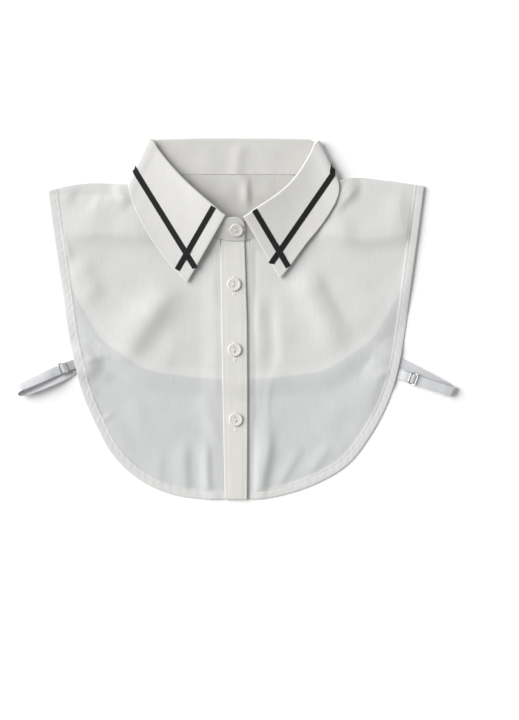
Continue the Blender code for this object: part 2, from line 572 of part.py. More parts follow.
def tape(name, ends, grid, normals, columns, cross, material):
    """A strip that lies on the leaf along a straight line, lifted where it crosses another."""
    start, end = np.array(ends)
    along = (end - start) / np.linalg.norm(end - start)
    side = np.array([-along[1], along[0]]) * TAPE_WIDTH / 2
    low, high = [], []
    for offset in (-1.0, 0.0, 1.0):
        low_row, high_row = [], []
        for t in np.linspace(0.0, 1.0, TAPE_STEPS):
            xy = start + (end - start) * t + side * offset
            point, normal = find_on_surface(grid, normals, xy, columns)
            lift = STAND_WALL / 2 + TAPE_GAP
            if cross is not None:
                near = np.linalg.norm(xy - np.array(cross))
                lift += TAPE_CROSS_LIFT * (1.0 - ease((near - TAPE_CROSS_FLAT) / TAPE_CROSS_EASE))
            low_row.append(point + normal * lift)
            high_row.append(point + normal * (lift + TAPE_WALL))
        low.append(low_row)
        high.append(high_row)
    shell(name, np.array(low), np.array(high), material)


def placket_strip(name, at_neck, at_hem, above, wall, material):
    """A strip of the placket: it follows the fronts' height, plus what lies under it."""
    y = np.linspace(PLACKET_TOP_Y, PLACKET_FOOT_Y, PLACKET_ROWS)
    t = (PLACKET_TOP_Y - y) / (PLACKET_TOP_Y - PLACKET_FOOT_Y)
    left = at_neck[0] + (at_hem[0] - at_neck[0]) * t
    right = at_neck[1] + (at_hem[1] - at_neck[1]) * t
    x = left[:, None] + (right - left)[:, None] * np.linspace(0.0, 1.0, PLACKET_COLUMNS)
    xy = np.dstack([x, np.repeat(y[:, None], PLACKET_COLUMNS, axis=1)])
    mid = front_base(xy, [], []) + WALL / 2 + above
    rise = STAND_FOOT_CENTRE + above - mid[0]
    mid += rise * (1.0 - ease((PLACKET_TOP_Y - xy[..., 1]) / NECK_EASE))
    low = np.dstack([xy, mid - wall / 2])
    high = np.dstack([xy, mid + wall / 2])
    shell(name, low, high, material)


def button_mesh(material):
    """Turned button: raised rim, dished middle, two sewing holes cut through."""
    sides = BUTTON_SIDES
    points = [(0.0, 0.0, BUTTON_PROFILE[0][1])]
    for radius, z in BUTTON_PROFILE[1:-1]:
        for k in range(sides):
            angle = 2.0 * math.pi * k / sides
            points.append((radius * math.cos(angle), radius * math.sin(angle), z))
    points.append((0.0, 0.0, BUTTON_PROFILE[-1][1]))
    rings = len(BUTTON_PROFILE) - 2
    faces = []
    for k in range(sides):
        after = (k + 1) % sides
        faces.append([0, 1 + after, 1 + k])
        for ring in range(rings - 1):
            a = 1 + ring * sides
            faces.append([a + k, a + after, a + sides + after, a + sides + k])
        last = 1 + (rings - 1) * sides
        faces.append([last + k, last + after, len(points) - 1])
    blank = mesh_object("button_blank", points, faces, material)
    cutters = []
    for side in (-1.0, 1.0):
        bpy.ops.mesh.primitive_cylinder_add(
            vertices=SEWING_HOLE_SIDES, radius=SEWING_HOLE_RADIUS * MM, depth=CUTTER_LENGTH * MM,
            location=(0.0, side * SEWING_HOLE_OFFSET * MM, MM))
        cutter = bpy.context.object
        cutter.hide_render = True
        cutters.append(cutter)
        cut = blank.modifiers.new("sewing_hole", "BOOLEAN")
        cut.operation = "DIFFERENCE"
        cut.object = cutter
    graph = bpy.context.evaluated_depsgraph_get()
    mesh = bpy.data.meshes.new_from_object(blank.evaluated_get(graph))
    mesh.name = "button"
    for obj in [blank] + cutters:
        bpy.data.objects.remove(obj, do_unlink=True)
    return mesh


def place_button(name, mesh, x, y, z, normal):
    """A button with its back a small gap above the cloth and its axis along the normal."""
    normal = np.asarray(normal) / np.linalg.norm(normal)
    obj = bpy.data.objects.new(name, mesh)
    obj.location = (np.array([x, y, z]) + normal * BUTTON_GAP) * MM
    obj.rotation_euler = (math.atan2(-normal[1], normal[2]), math.asin(normal[0]), 0.0)
    bpy.context.collection.objects.link(obj)


def ribbon(name, table, material):
    """Flat ribbon swept along a smooth centre line, its width turned by heading and lean."""
    table = np.array([tuple(row) for row in table])
    chord = np.linalg.norm(np.diff(table[:, :3], axis=0), axis=1)
    chord = np.concatenate([[0.0], np.cumsum(chord)]) / chord.sum()
    stops = np.arange(0, RIBBON_STEPS * (len(table) - 1) + 1) / RIBBON_STEPS
    rows = smooth_curve(table, at=np.interp(stops, np.arange(len(table)), chord))
    centre = rows[:, :3]
    heading = np.radians(rows[:, 3])
    lean = np.radians(rows[:, 4])
    lowest = RIBBON_WIDTH / 2 * abs(np.sin(lean)) + RIBBON_WALL / 2
    centre[:, 2] = np.maximum(centre[:, 2], lowest)
    width = np.column_stack([np.cos(heading) * np.cos(lean), np.sin(heading) * np.cos(lean),
                             np.sin(lean)])
    along = np.gradient(centre, axis=0)
    along /= np.linalg.norm(along, axis=1, keepdims=True)
    normal = np.cross(along, width)
    normal /= np.linalg.norm(normal, axis=1, keepdims=True)
    half = RIBBON_WIDTH / 2
    low = np.array([centre + width * side - normal * RIBBON_WALL / 2 for side in (-half, half)])
    high = np.array([centre + width * side + normal * RIBBON_WALL / 2 for side in (-half, half)])
    shell(name, low, high, material)


def slider(name, place, material):
    """Small frame with a middle bar, arched so that the ribbon weaves over and under it."""
    x, y, z, heading = place
    half_long = SLIDER_LENGTH / 2
    half_wide = SLIDER_WIDTH / 2
    rail = (SLIDER_WIDTH - RIBBON_WIDTH - SLIDER_PLAY) / 2
    us = [-half_long, -half_long + SLIDER_BAR, -SLIDER_BAR / 2, SLIDER_BAR / 2,
          half_long - SLIDER_BAR, half_long]
    vs = [-half_wide, -half_wide + rail, half_wide - rail, half_wide]
    arch = [SLIDER_ARCH, SLIDER_ARCH, -SLIDER_ARCH, -SLIDER_ARCH, SLIDER_ARCH, SLIDER_ARCH]
    turn_by = math.radians(heading)
    points = []
    for side in (-0.5, 0.5):
        for u, bend in zip(us, arch):
            for v in vs:
                points.append((x + u * math.cos(turn_by) - v * math.sin(turn_by),
                               y + u * math.sin(turn_by) + v * math.cos(turn_by),
                               z + bend + side * SLIDER_WALL))
    layer = len(us) * len(vs)
    solid = {(i, j): not (j == 1 and i in (1, 3)) for i in range(5) for j in range(3)}
    faces = []
    for (i, j), filled in solid.items():
        if not filled:
            continue
        a, b = i * 4 + j, i * 4 + j + 1
        c, d = (i + 1) * 4 + j + 1, (i + 1) * 4 + j
        faces.append([a + layer, d + layer, c + layer, b + layer])
        faces.append([a, b, c, d])
        for (m, n), (p, q) in (((i - 1, j), (b, a)), ((i, j + 1), (c, b)),
                               ((i + 1, j), (d, c)), ((i, j - 1), (a, d))):
            if not solid.get((m, n), False):
                faces.append([p, q, q + layer, p + layer])
    mesh_object(name, points, faces, material)


def build():
    clear_scene()
    cloth = make_material("white_cloth", (0.80, 0.80, 0.79), 0.75)
    black = make_material("black_tape", (0.02, 0.02, 0.022), 0.6)
    button_white = make_material("button_white", (0.82, 0.82, 0.80), 0.3)
    elastic = make_material("white_elastic", (0.72, 0.73, 0.74), 0.5)
    metal = make_material("slider_metal", (0.75, 0.76, 0.78), 0.25, 1.0)

    back_panel(cloth)
    hem_left = np.array(OUTER_LEFT[-1])
    hem_right = np.array(OUTER_RIGHT[-1])
    front_panel("front_left", NECK_LEFT, OUTER_LEFT, SHOULDER_LEFT,
                [NECK_LEFT[-1], (-12.7, -40.0), hem_left], stand_foot_left, LEFT_FOLDS,
                STRAPS_UNDER_LEFT, True, cloth)
    front_panel("front_right", NECK_RIGHT, OUTER_RIGHT, SHOULDER_RIGHT,
                [NECK_RIGHT[-1], (12.6, -40.0), hem_right], stand_foot_right, RIGHT_FOLDS,
                STRAPS_UNDER_RIGHT, False, cloth)
    placket_strip("placket_under", UNDER_EDGES_AT_NECK, UNDER_EDGES_AT_HEM, 0.0, WALL, cloth)
    placket_strip("placket_top", TOP_EDGES_AT_NECK, TOP_EDGES_AT_HEM, OVERLAP_CLIMB,
                  PLACKET_WALL, cloth)

    fold, neck = ring_lines()
    stand_mid, stand_out = collar_stand(fold, neck, cloth)
    grid, normals = leaf_grid(fold, neck)
    shell("collar_leaf", grid - normals * STAND_WALL / 2, grid + normals * STAND_WALL / 2, cloth)
    in_front = RUN_COLUMNS + len(TURN_ANGLES) - 1
    left_columns = slice(0, in_front)
    right_columns = slice(grid.shape[1] - in_front, grid.shape[1])
    leaf = (grid, normals, left_columns)
    tape("tape_edge_left", EDGE_TAPE_LEFT, *leaf, None, black)
    tape("tape_front_left", FRONT_TAPE_LEFT, *leaf, TAPE_CROSS_LEFT, black)
    leaf = (grid, normals, right_columns)
    tape("tape_edge_right", EDGE_TAPE_RIGHT, *leaf, None, black)
    tape("tape_front_right", FRONT_TAPE_RIGHT, *leaf, TAPE_CROSS_RIGHT, black)

    mesh = button_mesh(button_white)
    x, y = BUTTON_PLACES[0]
    near = np.linalg.norm(stand_mid[:, :RUN_COLUMNS, :2] - (x, y), axis=-1)
    r, c = np.unravel_index(near.argmin(), near.shape)
    normal = stand_out[r, c]
    flat = stand_mid[r, c]
    z = flat[2] - (normal[0] * (x - flat[0]) + normal[1] * (y - flat[1])) / normal[2]
    face = np.array([x, y, z]) + normal * STAND_WALL / 2
    place_button("button_1", mesh, *face, normal)
    for k, (x, y) in enumerate(BUTTON_PLACES[1:], 2):
        reach = np.array([[[x, y - BUTTON_RADIUS], [x, y], [x, y + BUTTON_RADIUS]]])
        base = front_base(reach, [], []).max()
        z = base + WALL / 2 + OVERLAP_CLIMB + PLACKET_WALL / 2
        place_button(f"button_{k}", mesh, x, y, z, (0.0, 0.0, 1.0))

    ribbon("strap_left", RIBBON_LEFT, elastic)
    ribbon("strap_right", RIBBON_RIGHT, elastic)
    slider("slider_left", SLIDER_LEFT, metal)
    slider("slider_right", SLIDER_RIGHT, metal)


build()
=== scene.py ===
"""Detachable white shirt collar with a short front and back, laid flat with its front up.

Layers from the surface up: the back run of the collar leaf, the back panel, the elastic loops,
the two fronts with the placket, the stand, the front runs of the leaf and the black tape.
X runs across the shoulders, Y from the hem to the neck, Z up. Tables are in millimetres.
"""

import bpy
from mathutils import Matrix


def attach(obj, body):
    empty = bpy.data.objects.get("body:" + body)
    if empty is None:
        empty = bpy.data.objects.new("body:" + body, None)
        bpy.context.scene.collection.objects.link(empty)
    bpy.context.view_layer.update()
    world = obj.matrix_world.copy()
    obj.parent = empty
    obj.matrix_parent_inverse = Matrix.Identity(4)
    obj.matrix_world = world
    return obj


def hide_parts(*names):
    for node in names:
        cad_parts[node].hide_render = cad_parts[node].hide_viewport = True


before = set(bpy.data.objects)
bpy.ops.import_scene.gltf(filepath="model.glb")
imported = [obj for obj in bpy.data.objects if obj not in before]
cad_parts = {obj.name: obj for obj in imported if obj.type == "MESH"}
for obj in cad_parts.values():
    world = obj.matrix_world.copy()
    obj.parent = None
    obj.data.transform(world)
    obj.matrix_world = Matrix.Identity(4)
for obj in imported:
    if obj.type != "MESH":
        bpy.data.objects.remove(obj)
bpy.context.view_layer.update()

import math

import bpy
import numpy as np
from mathutils import Vector

# Back panel
# One layer of fine white poplin, shorter than the fronts. Its curved hem is turned up once and
# topstitched, and its neckline is sewn to the stand. Most of it lies hidden under the fronts.
MM = 0.001
CLOTH_WALL = 0.5
BAND_WIDTH = 7.5
BAND_STEP = 1.3
BAND_STITCH = 6.2
BAND_DISTANCES = (8.3, 7.9, 7.5, 6.9, 6.2, 5.5, 4.3, 3.0, 1.8, 0.9, 0.35, 0.0)
ROW_SPREAD = 1.25
NECK_EASE = 16.0
SEAM_GAP = 0.72
BACK_SEAM_GAP = 0.75
RING_AXIS_Z = 4.1
STAND_TURN = 1.5
BACK_MID = 0.5
NECK_TUCK = -0.15
BACK_OVER_LEAF = 1.5
BACK_OUTER = [(-167.6, 114.8), (-162.2, 76.0), (-157.0, 52.0), (-150.5, 34.0), (-134.0, 2.3),
              (-121.0, -17.6), (-103.0, -31.2), (-80.0, -45.0), (-52.6, -50.0),
              (-13.5, -53.6), (0.0, -54.2), (13.5, -53.6), (52.6, -50.0), (80.0, -45.0),
              (103.0, -31.2), (121.0, -17.6), (134.0, 2.3), (150.5, 34.0), (156.6, 54.0),
              (161.6, 78.3), (167.4, 119.6)]
BACK_SHOULDER_LEFT = [(-88.0, 128.8), (-90.0, 124.3), (-93.2, 121.6), (-98.0, 121.2),
                      (-135.5, 121.8), (-152.0, 119.4), (-167.6, 114.8)]
BACK_SHOULDER_RIGHT = [(85.7, 129.4), (87.2, 124.6), (92.5, 124.5), (99.0, 126.2),
                       (132.8, 124.8), (150.0, 122.6), (167.4, 119.6)]
NECK_BACK = [(-88.0, 128.8), (-50.0, 130.4), (0.0, 130.5), (50.0, 130.4), (85.7, 129.4)]
# Folds: both ends, the half widths on the left and right of the way from end to end, the height
BACK_FOLDS = [
    (2.0, 146.0, 13.0, 96.0, 3.2, 5.0, 1.7),
    (-10.0, 134.0, -4.0, 108.0, 7.0, 9.0, 0.5),
    (-38.0, 140.0, -30.0, 100.0, 9.0, 9.0, 0.5),
    (30.0, 140.0, 26.0, 112.0, 7.0, 7.0, 0.5),
]


def linear(code):
    """Linear colour of an sRGB hex code: c/12.92 below 0.04045, else ((c + 0.055)/1.055)^2.4."""
    c = np.array([int(code[k:k + 2], 16) for k in (1, 3, 5)]) / 255
    return (*np.where(c <= 0.04045, c / 12.92, ((c + 0.055) / 1.055) ** 2.4).tolist(), 1.0)


def add_node(tree, kind, settings, inputs):
    """Adds a node with its settings. An input is set to a value or linked from a socket."""
    node = tree.nodes.new(kind)
    for name, value in settings.items():
        setattr(node, name, value)
    for name, value in inputs.items():
        if isinstance(value, bpy.types.NodeSocket):
            tree.links.new(value, node.inputs[name])
        else:
            node.inputs[name].default_value = value
    return node


def poplin(name, backed, single, two_tone=False):
    """Fine plain-woven cotton blend, bleached and pressed: matt, with a faint sheen at a glance.

    The threads are 0.35 mm apart in the real cloth. They are drawn at 0.9 mm, as a product of
    two sines, so that they show close up. Long slubs run with the warp. A front's colour is
    darker and cooler where no back panel lies behind it, because the cloth is a little sheer;
    this is painted see-through shade, and the lighter tone over the back and along its hem band
    is painted see-through light.
    """
    material = bpy.data.materials.new(name)
    material.use_nodes = True
    tree = material.node_tree
    shader = tree.nodes["Principled BSDF"]
    uv = add_node(tree, "ShaderNodeUVMap", {"uv_map": "cut"}, {}).outputs[0]
    turns = add_node(tree, "ShaderNodeVectorMath", {"operation": "MULTIPLY"},
                     {0: uv, 1: (2 * math.pi / 0.0009, 2 * math.pi / 0.0009, 0.0)})
    split = add_node(tree, "ShaderNodeSeparateXYZ", {}, {0: turns.outputs[0]})
    warp = add_node(tree, "ShaderNodeMath", {"operation": "SINE"}, {0: split.outputs[0]})
    weft = add_node(tree, "ShaderNodeMath", {"operation": "SINE"}, {0: split.outputs[1]})
    weave = add_node(tree, "ShaderNodeMath", {"operation": "MULTIPLY"},
                     {0: warp.outputs[0], 1: weft.outputs[0]})
    long_way = add_node(tree, "ShaderNodeMapping", {}, {"Vector": uv, "Scale": (900, 45, 1)})
    slub = add_node(tree, "ShaderNodeTexNoise", {}, {"Vector": long_way.outputs[0], "Scale": 1.0,
                                                     "Detail": 3.0, "Roughness": 0.6})
    cloudy = add_node(tree, "ShaderNodeTexNoise", {}, {"Vector": uv, "Scale": 38.0, "Detail": 2.0})
    height = add_node(tree, "ShaderNodeMath", {"operation": "MULTIPLY_ADD"},
                      {0: slub.outputs[0], 1: 1.4, 2: weave.outputs[0]})
    bump = add_node(tree, "ShaderNodeBump", {}, {"Strength": 0.35, "Distance": 0.00004,
                                                 "Height": height.outputs[0]})
    if two_tone:
        # Painted see-through tone: painted greyer and cooler where no back lies behind, painted
        # lighter over the back and along its hem band.
        edge = add_node(tree, "ShaderNodeAttribute", {"attribute_name": "back_edge"}, {})
        cover = add_node(tree, "ShaderNodeMapRange", {"interpolation_type": "SMOOTHSTEP"},
                         {0: edge.outputs["Fac"], 1: -1.1, 2: 1.1, 3: 0.0, 4: 1.0})
        hem = add_node(tree, "ShaderNodeMapRange", {"interpolation_type": "SMOOTHSTEP"},
                       {0: edge.outputs["Fac"], 1: 9.5, 2: 6.5, 3: 0.0, 4: 0.38})
        tone = add_node(tree, "ShaderNodeMix", {"data_type": "RGBA"},
                        {0: cover.outputs[0], 6: linear(single), 7: linear(backed)})
        strip = add_node(tree, "ShaderNodeMath", {"operation": "MULTIPLY"},
                         {0: hem.outputs[0], 1: cover.outputs[0]})
        tone = add_node(tree, "ShaderNodeMix", {"data_type": "RGBA"},
                        {0: strip.outputs[0], 6: tone.outputs[2], 7: linear("#D9D9D7")})
    else:
        tone = add_node(tree, "ShaderNodeMix", {"data_type": "RGBA"},
                        {0: cloudy.outputs[0], 6: linear(single), 7: linear(backed)})
    shade = add_node(tree, "ShaderNodeMapRange", {}, {0: cloudy.outputs[0], 3: 0.97, 4: 1.03})
    thread = add_node(tree, "ShaderNodeMapRange", {}, {0: slub.outputs[0], 1: 0.3, 2: 0.7,
                                                       3: 0.965, 4: 1.035})
    both = add_node(tree, "ShaderNodeMath", {"operation": "MULTIPLY"},
                    {0: shade.outputs[0], 1: thread.outputs[0]})
    colour = add_node(tree, "ShaderNodeVectorMath", {"operation": "SCALE"},
                      {0: tone.outputs[2], "Scale": both.outputs[0]})
    rough = add_node(tree, "ShaderNodeMapRange", {}, {0: slub.outputs[0], 3: 0.76, 4: 0.9})
    tree.links.new(colour.outputs[0], shader.inputs["Base Color"])
    tree.links.new(rough.outputs[0], shader.inputs["Roughness"])
    tree.links.new(bump.outputs[0], shader.inputs["Normal"])
    shader.inputs["IOR"].default_value = 1.45
    shader.inputs["Specular IOR Level"].default_value = 0.25
    shader.inputs["Sheen Weight"].default_value = 0.08
    shader.inputs["Sheen Roughness"].default_value = 0.5
    return material


def sewing_thread(name, code):
    """Spun polyester sewing thread: a twisted cord, so it has slanting bands 0.5 mm apart, with
    painted shade in the grooves between them.
    """
    material = bpy.data.materials.new(name)
    material.use_nodes = True
    tree = material.node_tree
    shader = tree.nodes["Principled BSDF"]
    place = add_node(tree, "ShaderNodeTexCoord", {}, {}).outputs["Object"]
    twist = add_node(tree, "ShaderNodeTexWave", {"bands_direction": "DIAGONAL"},
                     {"Vector": place, "Scale": 0.314 / 0.0005, "Distortion": 1.0})
    light = linear(code)
    # dark is painted shade for the grooves of the twist, where the bump is low.
    dark = tuple(c * 0.82 for c in light[:3]) + (1.0,)
    tone = add_node(tree, "ShaderNodeMix", {"data_type": "RGBA"},
                    {0: twist.outputs["Fac"], 6: dark, 7: light})
    bump = add_node(tree, "ShaderNodeBump", {}, {"Strength": 0.5, "Distance": 0.00005,
                                                 "Height": twist.outputs["Fac"]})
    tree.links.new(tone.outputs[2], shader.inputs["Base Color"])
    tree.links.new(bump.outputs[0], shader.inputs["Normal"])
    shader.inputs["Roughness"].default_value = 0.6
    shader.inputs["Sheen Weight"].default_value = 0.15
    return material


def ease(t):
    """Smooth step from 0 at t = 0 to 1 at t = 1: 3t^2 - 2t^3."""
    t = np.clip(t, 0.0, 1.0)
    return t * t * (3.0 - 2.0 * t)


def bump_at(t):
    """A bell from 1 at t = 0 to nothing a few units away: exp(-t^2)."""
    return np.exp(-np.square(t))


def smooth_curve(points, count=None, at=None):
    """Points of a smooth curve through a table: cubic pieces with the chord as parameter.

    They are spaced evenly along the curve, or lie at the given fractions of its length.
    """
    points = np.array(points, float)
    chord = np.concatenate([[0.0], np.cumsum(np.linalg.norm(np.diff(points, axis=0), axis=1))])
    dense = cubic(points, chord, np.linspace(0.0, chord[-1], 60 * len(points)))
    length = np.concatenate([[0.0], np.cumsum(np.linalg.norm(np.diff(dense, axis=0), axis=1))])
    fractions = np.linspace(0.0, 1.0, count) if at is None else np.asarray(at)
    return np.stack([np.interp(fractions * length[-1], length, dense[:, k])
                     for k in range(points.shape[1])], axis=-1)


def cubic(points, chord, where):
    """Hermite cubic through the points at the chord values, with the slopes of its neighbours."""
    slope = np.gradient(points, chord, axis=0)
    i = np.clip(np.searchsorted(chord, where, side="right") - 1, 0, len(chord) - 2)
    span = (chord[i + 1] - chord[i])[:, None]
    t = (where - chord[i])[:, None] / span
    return ((2 * t**3 - 3 * t**2 + 1) * points[i] + (t**3 - 2 * t**2 + t) * span * slope[i]
            + (3 * t**2 - 2 * t**3) * points[i + 1] + (t**3 - t**2) * span * slope[i + 1])


def segment_distance(xy, x1, y1, x2, y2):
    """Distance in plan from each point to a line segment: to the foot of its perpendicular."""
    start = np.array([x1, y1])
    along = np.array([x2, y2]) - start
    t = np.clip(((xy - start) @ along) / (along @ along), 0.0, 1.0)
    return np.linalg.norm(xy - start - t[..., None] * along, axis=-1)


def line_distance(xy, line):
    """Distance in plan from each point to the nearest piece of an open line."""
    nearest = np.full(xy.shape[:-1], np.inf)
    for (x1, y1), (x2, y2) in zip(line[:-1], line[1:]):
        nearest = np.minimum(nearest, segment_distance(xy, x1, y1, x2, y2))
    return nearest


def depth_inside(xy, outline):
    """Distance in plan to a closed outline, above 0 inside it and below 0 outside."""
    inside = np.zeros(xy.shape[:-1], bool)
    for (x1, y1), (x2, y2) in zip(outline, np.roll(outline, -1, axis=0)):
        if y1 != y2:
            crosses = (y1 > xy[..., 1]) != (y2 > xy[..., 1])
            inside ^= crosses & (xy[..., 0] < (x2 - x1) * (xy[..., 1] - y1) / (y2 - y1) + x1)
    away = line_distance(xy, np.concatenate([outline, outline[:1]]))
    return np.where(inside, away, -away)


def patch(inner, outer, first, last, across, along):
    """Coons patch in plan: the two blends between opposite edges, less the blend of corners."""
    a = smooth_curve(inner, at=across)[None]
    b = smooth_curve(outer, at=across)[None]
    c = smooth_curve(first, at=along.ravel()).reshape(*along.shape, 2)
    d = smooth_curve(last, at=along.ravel()).reshape(*along.shape, 2)
    t = across[None, :, None]
    w = along[..., None]
    corners = ((1 - w) * ((1 - t) * a[:, :1] + t * a[:, -1:])
               + w * ((1 - t) * b[:, :1] + t * b[:, -1:]))
    return (1 - w) * a + w * b + (1 - t) * c + t * d - corners


def panel_plan(inner, outer, first, last, columns, body_rows, neck_gap):
    """Plan of a panel and each point's distance from its hem edge.

    The last rows are moved along their columns until they run at the distances of the hem band.
    """
    across = np.linspace(0.0, 1.0, columns)
    hem = smooth_curve(outer, 2 * columns)
    ray = np.linalg.norm(smooth_curve(outer, at=across) - smooth_curve(inner, at=across), axis=1)
    wanted = np.repeat(np.array(BAND_DISTANCES)[:, None], columns, axis=1)
    along = 1.0 - wanted / ray
    for _ in range(8):
        away = line_distance(patch(inner, outer, first, last, across, along), hem)
        along = np.clip(along + (away - wanted) / ray, 0.0, 1.0)
    along[-1] = 1.0
    body = np.linspace(0.0, 1.0, body_rows, endpoint=False)[:, None] ** ROW_SPREAD * along[:1]
    along = np.concatenate([body, along])
    xy = patch(inner, outer, first, last, across, along)
    inward = xy[1] - xy[0]
    xy[0] += inward / np.linalg.norm(inward, axis=-1, keepdims=True) * neck_gap
    away = line_distance(xy, hem)
    away[-len(BAND_DISTANCES):] = wanted
    return xy, away


def hem_band(away, along_hem, rise, seed):
    """Height of a turned and stitched hem: a step up, a groove at the stitches, small puckers.

    The puckers are two sines along the hem, strongest between the stitches and the edge.
    """
    step = ease((BAND_WIDTH + BAND_STEP - away) / BAND_STEP)
    groove = 0.16 * bump_at((away - BAND_STITCH) / 0.55)
    edge = 0.12 * ease((1.0 - away) / 1.0)
    pucker = (0.5 * np.sin(2 * np.pi * along_hem / 8.3 + seed + 0.25 * away)
              + 0.5 * np.sin(2 * np.pi * along_hem / 5.1 + 2.3 * seed - 0.3 * away))
    pucker *= 0.15 * step * ease(away / 2.0)
    return rise * step - groove * step - edge + pucker


def folds_height(xy, folds):
    """Sum of soft folds: height * exp(-(d / w)^2) * taper, d across the fold and w its half width.

    The half width differs on the two sides, so one flank is steeper. The taper eases up from
    one end and down to the other, and sines bend the plan first, so that no fold is straight.
    """
    x, y = xy[..., 0], xy[..., 1]
    bent = np.stack([x + 2.0 * np.sin(y / 13.0 + 0.8), y + 2.0 * np.sin(x / 15.0)], axis=-1)
    height = np.zeros(xy.shape[:-1])
    for x1, y1, x2, y2, left, right, rise in folds:
        way = np.array([x2 - x1, y2 - y1])
        length = np.linalg.norm(way)
        from_end = bent - np.array([x1, y1])
        t = from_end @ way / length**2
        d = (way[0] * from_end[..., 1] - way[1] * from_end[..., 0]) / length
        flank = np.exp(-np.square(d / np.where(d > 0, left, right)))
        height += rise * flank * ease(t / 0.35) * ease((1.0 - t) / 0.35)
    return height


def unevenness(xy, seed):
    """Slack of cloth that was laid by hand: four crossing sine waves, 30 to 80 mm long."""
    x, y = xy[..., 0] + 37.0 * seed, xy[..., 1] - 23.0 * seed
    return (0.20 * np.sin(x / 12.7 + 0.6 * np.sin(y / 17.0))
            + 0.16 * np.sin(y / 10.3 + 0.7 * np.sin(x / 21.0))
            + 0.07 * np.sin((x + y) / 6.1 + np.sin(y / 9.0))
            + 0.06 * np.sin((x - 1.4 * y) / 7.7))


def back_lift(xy):
    """How high the back panel is held by the leaf that lies under it behind the neck."""
    behind = ease((xy[..., 1] - 100.0) / 15.0)
    return BACK_OVER_LEAF * behind * ease((113.0 - abs(xy[..., 0])) / 13.0)


def grid_normals(grid):
    """Unit normals of a grid: the cross product of its steps along a row and down a column."""
    normal = np.cross(np.gradient(grid, axis=1), np.gradient(grid, axis=0))
    return normal / np.linalg.norm(normal, axis=-1, keepdims=True)


def upward(mid):
    """Normals of a grid that lies flat, turned so that they point up."""
    normals = grid_normals(mid)
    return normals * np.sign(normals[..., 2].sum())


def new_mesh(name, points, faces, material):
    """Smooth-shaded object from points in millimetres, at the origin."""
    mesh = bpy.data.meshes.new(name)
    mesh.from_pydata((np.asarray(points) * MM).tolist(), [], faces)
    mesh.materials.append(material)
    mesh.shade_smooth()
    obj = bpy.data.objects.new(name, mesh)
    bpy.context.collection.objects.link(obj)
    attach(obj, "root")
    return obj


def cloth_piece(name, mid, up, down, cut, material, normals=None, **attributes):
    """Closed piece of cloth round a middle surface.

    Its faces stand up and down from the middle along the normals, and the rim between them is
    half round: its radius is half the wall, and it is swept from one face to the other.
    """
    rows, columns = mid.shape[:2]
    normals = grid_normals(mid) if normals is None else normals
    up = np.broadcast_to(up, (rows, columns))[..., None]
    down = np.broadcast_to(down, (rows, columns))[..., None]
    out = np.zeros_like(mid)
    out[0] += mid[0] - mid[1]
    out[-1] += mid[-1] - mid[-2]
    out[:, 0] += (mid[:, 0] - mid[:, 1]) * (np.linalg.norm(out[:, 0], axis=-1, keepdims=True) + 1)
    out[:, -1] += (mid[:, -1] - mid[:, -2]) * (
        np.linalg.norm(out[:, -1], axis=-1, keepdims=True) + 1)
    index = np.arange(rows * columns).reshape(rows, columns)
    rim = np.concatenate([index[0], index[1:, -1], index[-1, -2::-1], index[-2:0:-1, 0]])
    flat_out, flat_normal = out.reshape(-1, 3)[rim], normals.reshape(-1, 3)[rim]
    flat_out = flat_out / np.linalg.norm(flat_out, axis=1, keepdims=True)
    hub = (mid + normals * (up - down) / 2).reshape(-1, 3)[rim]
    radius = ((up + down) / 2).reshape(-1, 1)[rim]
    top = mid + normals * up
    layers = [top.reshape(-1, 3), (mid - normals * down).reshape(-1, 3)]
    for angle in np.radians([50.0, 0.0, -50.0]):
        layers.append(hub + radius * (np.sin(angle) * flat_normal + np.cos(angle) * flat_out))
    points = np.concatenate(layers)
    count = rows * columns
    quads = np.stack([index[:-1, :-1], index[:-1, 1:], index[1:, 1:], index[1:, :-1]],
                     axis=-1).reshape(-1, 4)
    loops = [rim] + [2 * count + k * len(rim) + np.arange(len(rim)) for k in range(3)]
    loops.append(rim + count)
    faces = [quads, quads[:, ::-1] + count]
    for a, b in zip(loops[:-1], loops[1:]):
        faces.append(np.stack([np.roll(a, -1), a, b, np.roll(b, -1)], axis=-1))
    faces = np.concatenate(faces)
    a, b, c, d = (points[faces[:, k]] for k in range(4))
    if np.sum(a * (np.cross(b, c) + np.cross(c, d))) < 0:
        faces = faces[:, ::-1]
    obj = new_mesh(name, points, faces.tolist(), material)
    source = np.concatenate([np.arange(count), np.arange(count), rim, rim, rim])
    per_corner = np.empty(len(obj.data.loops), np.int32)
    obj.data.loops.foreach_get("vertex_index", per_corner)
    uv = obj.data.uv_layers.new(name="cut")
    flat = cut.reshape(-1, 2)[source][per_corner] * MM
    uv.uv.foreach_set("vector", flat.astype(np.float32).ravel())
    for key, values in attributes.items():
        layer = obj.data.attributes.new(key, "FLOAT", "POINT")
        layer.data.foreach_set("value", values.ravel()[source].astype(np.float32))
    return obj, top, normals


